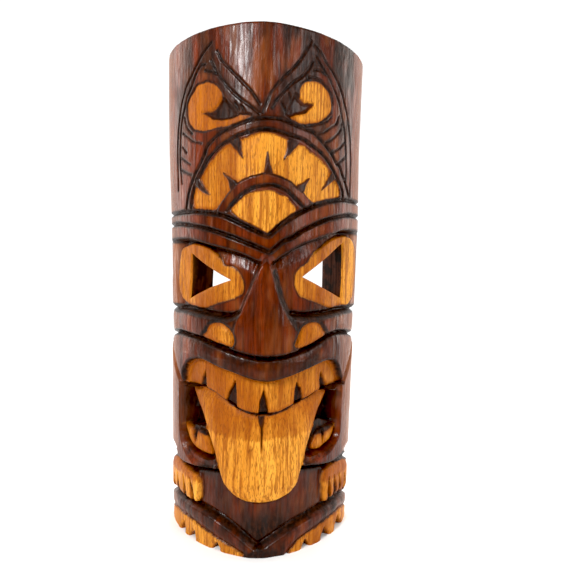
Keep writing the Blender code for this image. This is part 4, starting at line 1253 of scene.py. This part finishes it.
def make_floor():
    """A flat pale floor, lit out to its edges, and dark in front, where the lacquer mirrors it."""
    front, rear, half = -2.6, 1.15, 1.3
    floor = add_mesh("floor", [(-half, front, 0), (half, front, 0), (half, rear, 0),
                               (-half, rear, 0)], [(0, 1, 2, 3)])
    n = Nodes("floor_paint")
    paper = n.mix(n.noise((3, 3, 3), 3.0, 0.5), (0.93, 0.93, 0.925), (0.95, 0.95, 0.945))
    lit = n.span(n.axes()["Y"], -1.0, -0.3)
    n.paint(n.mix(lit, (0.14, 0.14, 0.14), paper), 0.85)
    n.shader.inputs["Specular IOR Level"].default_value = 0.1
    floor.data.materials.append(n.material)


def make_world():
    """White all round, and dimmer in front, where a studio's dark side is."""
    world = bpy.data.worlds.new("studio")
    bpy.context.scene.world = world
    world.use_nodes = True
    tree = world.node_tree
    where = tree.nodes.new("ShaderNodeTexCoord")
    split = tree.nodes.new("ShaderNodeSeparateXYZ")
    tree.links.new(where.outputs["Generated"], split.inputs["Vector"])
    span = tree.nodes.new("ShaderNodeMapRange")
    span.interpolation_type = "SMOOTHSTEP"
    for key, value in (("From Min", -0.35), ("From Max", 0.40), ("To Min", 0.16), ("To Max", 1.06)):
        span.inputs[key].default_value = value
    tree.links.new(split.outputs["Y"], span.inputs["Value"])
    background = tree.nodes["Background"]
    background.inputs["Color"].default_value = (1, 1, 1, 1)
    tree.links.new(span.outputs["Result"], background.inputs["Strength"])


def area_light(name, place, target, width, height, watts, colour=(1, 1, 1)):
    light = bpy.data.lights.new(name, "AREA")
    light.shape = "RECTANGLE"
    light.size, light.size_y = width, height
    light.energy = watts
    light.color = colour
    obj = bpy.data.objects.new(name, light)
    obj.location = place
    way = Vector(target) - Vector(place)
    obj.rotation_euler = way.to_track_quat("-Z", "Y").to_euler()
    bpy.context.scene.collection.objects.link(obj)


def make_lights():
    warm = (1.0, 0.90, 0.82)
    area_light("key", (-0.68, -1.02, 1.00), (0, 0, 0.27), 0.28, 0.40, 18)
    area_light("fill", (1.15, -0.85, 0.75), (0, 0, 0.25), 0.5, 0.9, 8)
    area_light("window", (0.50, -1.15, 1.05), (0, 0, 0.35), 0.14, 0.42, 2.2)
    area_light("left_panel", (-1.25, 0.48, 0.50), (0, 0, 0.27), 0.6, 1.3, 7, warm)
    area_light("right_panel", (1.25, 0.48, 0.50), (0, 0, 0.27), 0.6, 1.3, 8, warm)
    area_light("rim", (0.2, 1.3, 1.4), (0, 0.3, 0.1), 1.2, 0.6, 15)


def make_camera():
    """The main view: close, from eye height, a little right of the mask's middle."""
    yaw, roll, pitch = 0.0174, 0.0242, 0.0604
    away, over, aside = 0.430, 0.03824, 0.02773
    aim = (Matrix.Rotation(-yaw, 4, "Z") @ Matrix.Rotation(-roll, 4, "Y")
           @ Matrix.Translation((aside, -away, over))
           @ Matrix.Rotation(-pitch, 4, "X") @ Matrix.Rotation(math.pi / 2, 4, "X"))
    data = bpy.data.cameras.new("camera")
    data.sensor_width = 36
    data.lens = 29.324
    data.clip_start = 0.02
    camera = bpy.data.objects.new("camera", data)
    camera.matrix_world = Matrix.Translation((0, LOW_Y, HEIGHT / 2)) @ aim
    bpy.context.scene.collection.objects.link(camera)
    bpy.context.scene.camera = camera


def set_view():
    view = bpy.context.scene.view_settings
    view.view_transform = "Standard"
    view.use_curve_mapping = True
    view.curve_mapping.black_level = (0.008, 0.008, 0.008)
    view.curve_mapping.white_level = (0.95, 0.95, 0.95)


def main():
    set_view()
    make_camera()
    wood = [carved_wood(), gouged_wood(), eye_wall_wood(), sawn_wood(), end_grain()]
    make_body(wood)
    wire = zinc_steel("zinc_wire", (0.60, 0.61, 0.63), (300, 2600, 300))
    plate = zinc_steel("zinc_plate", (0.55, 0.56, 0.57), (1800, 300, 200))
    for side_name in ("left", "right"):
        make_ring(side_name, wire)
        make_strap(side_name, plate)
        make_screw(side_name, plate)
    make_floor()
    make_world()
    make_lights()


main()
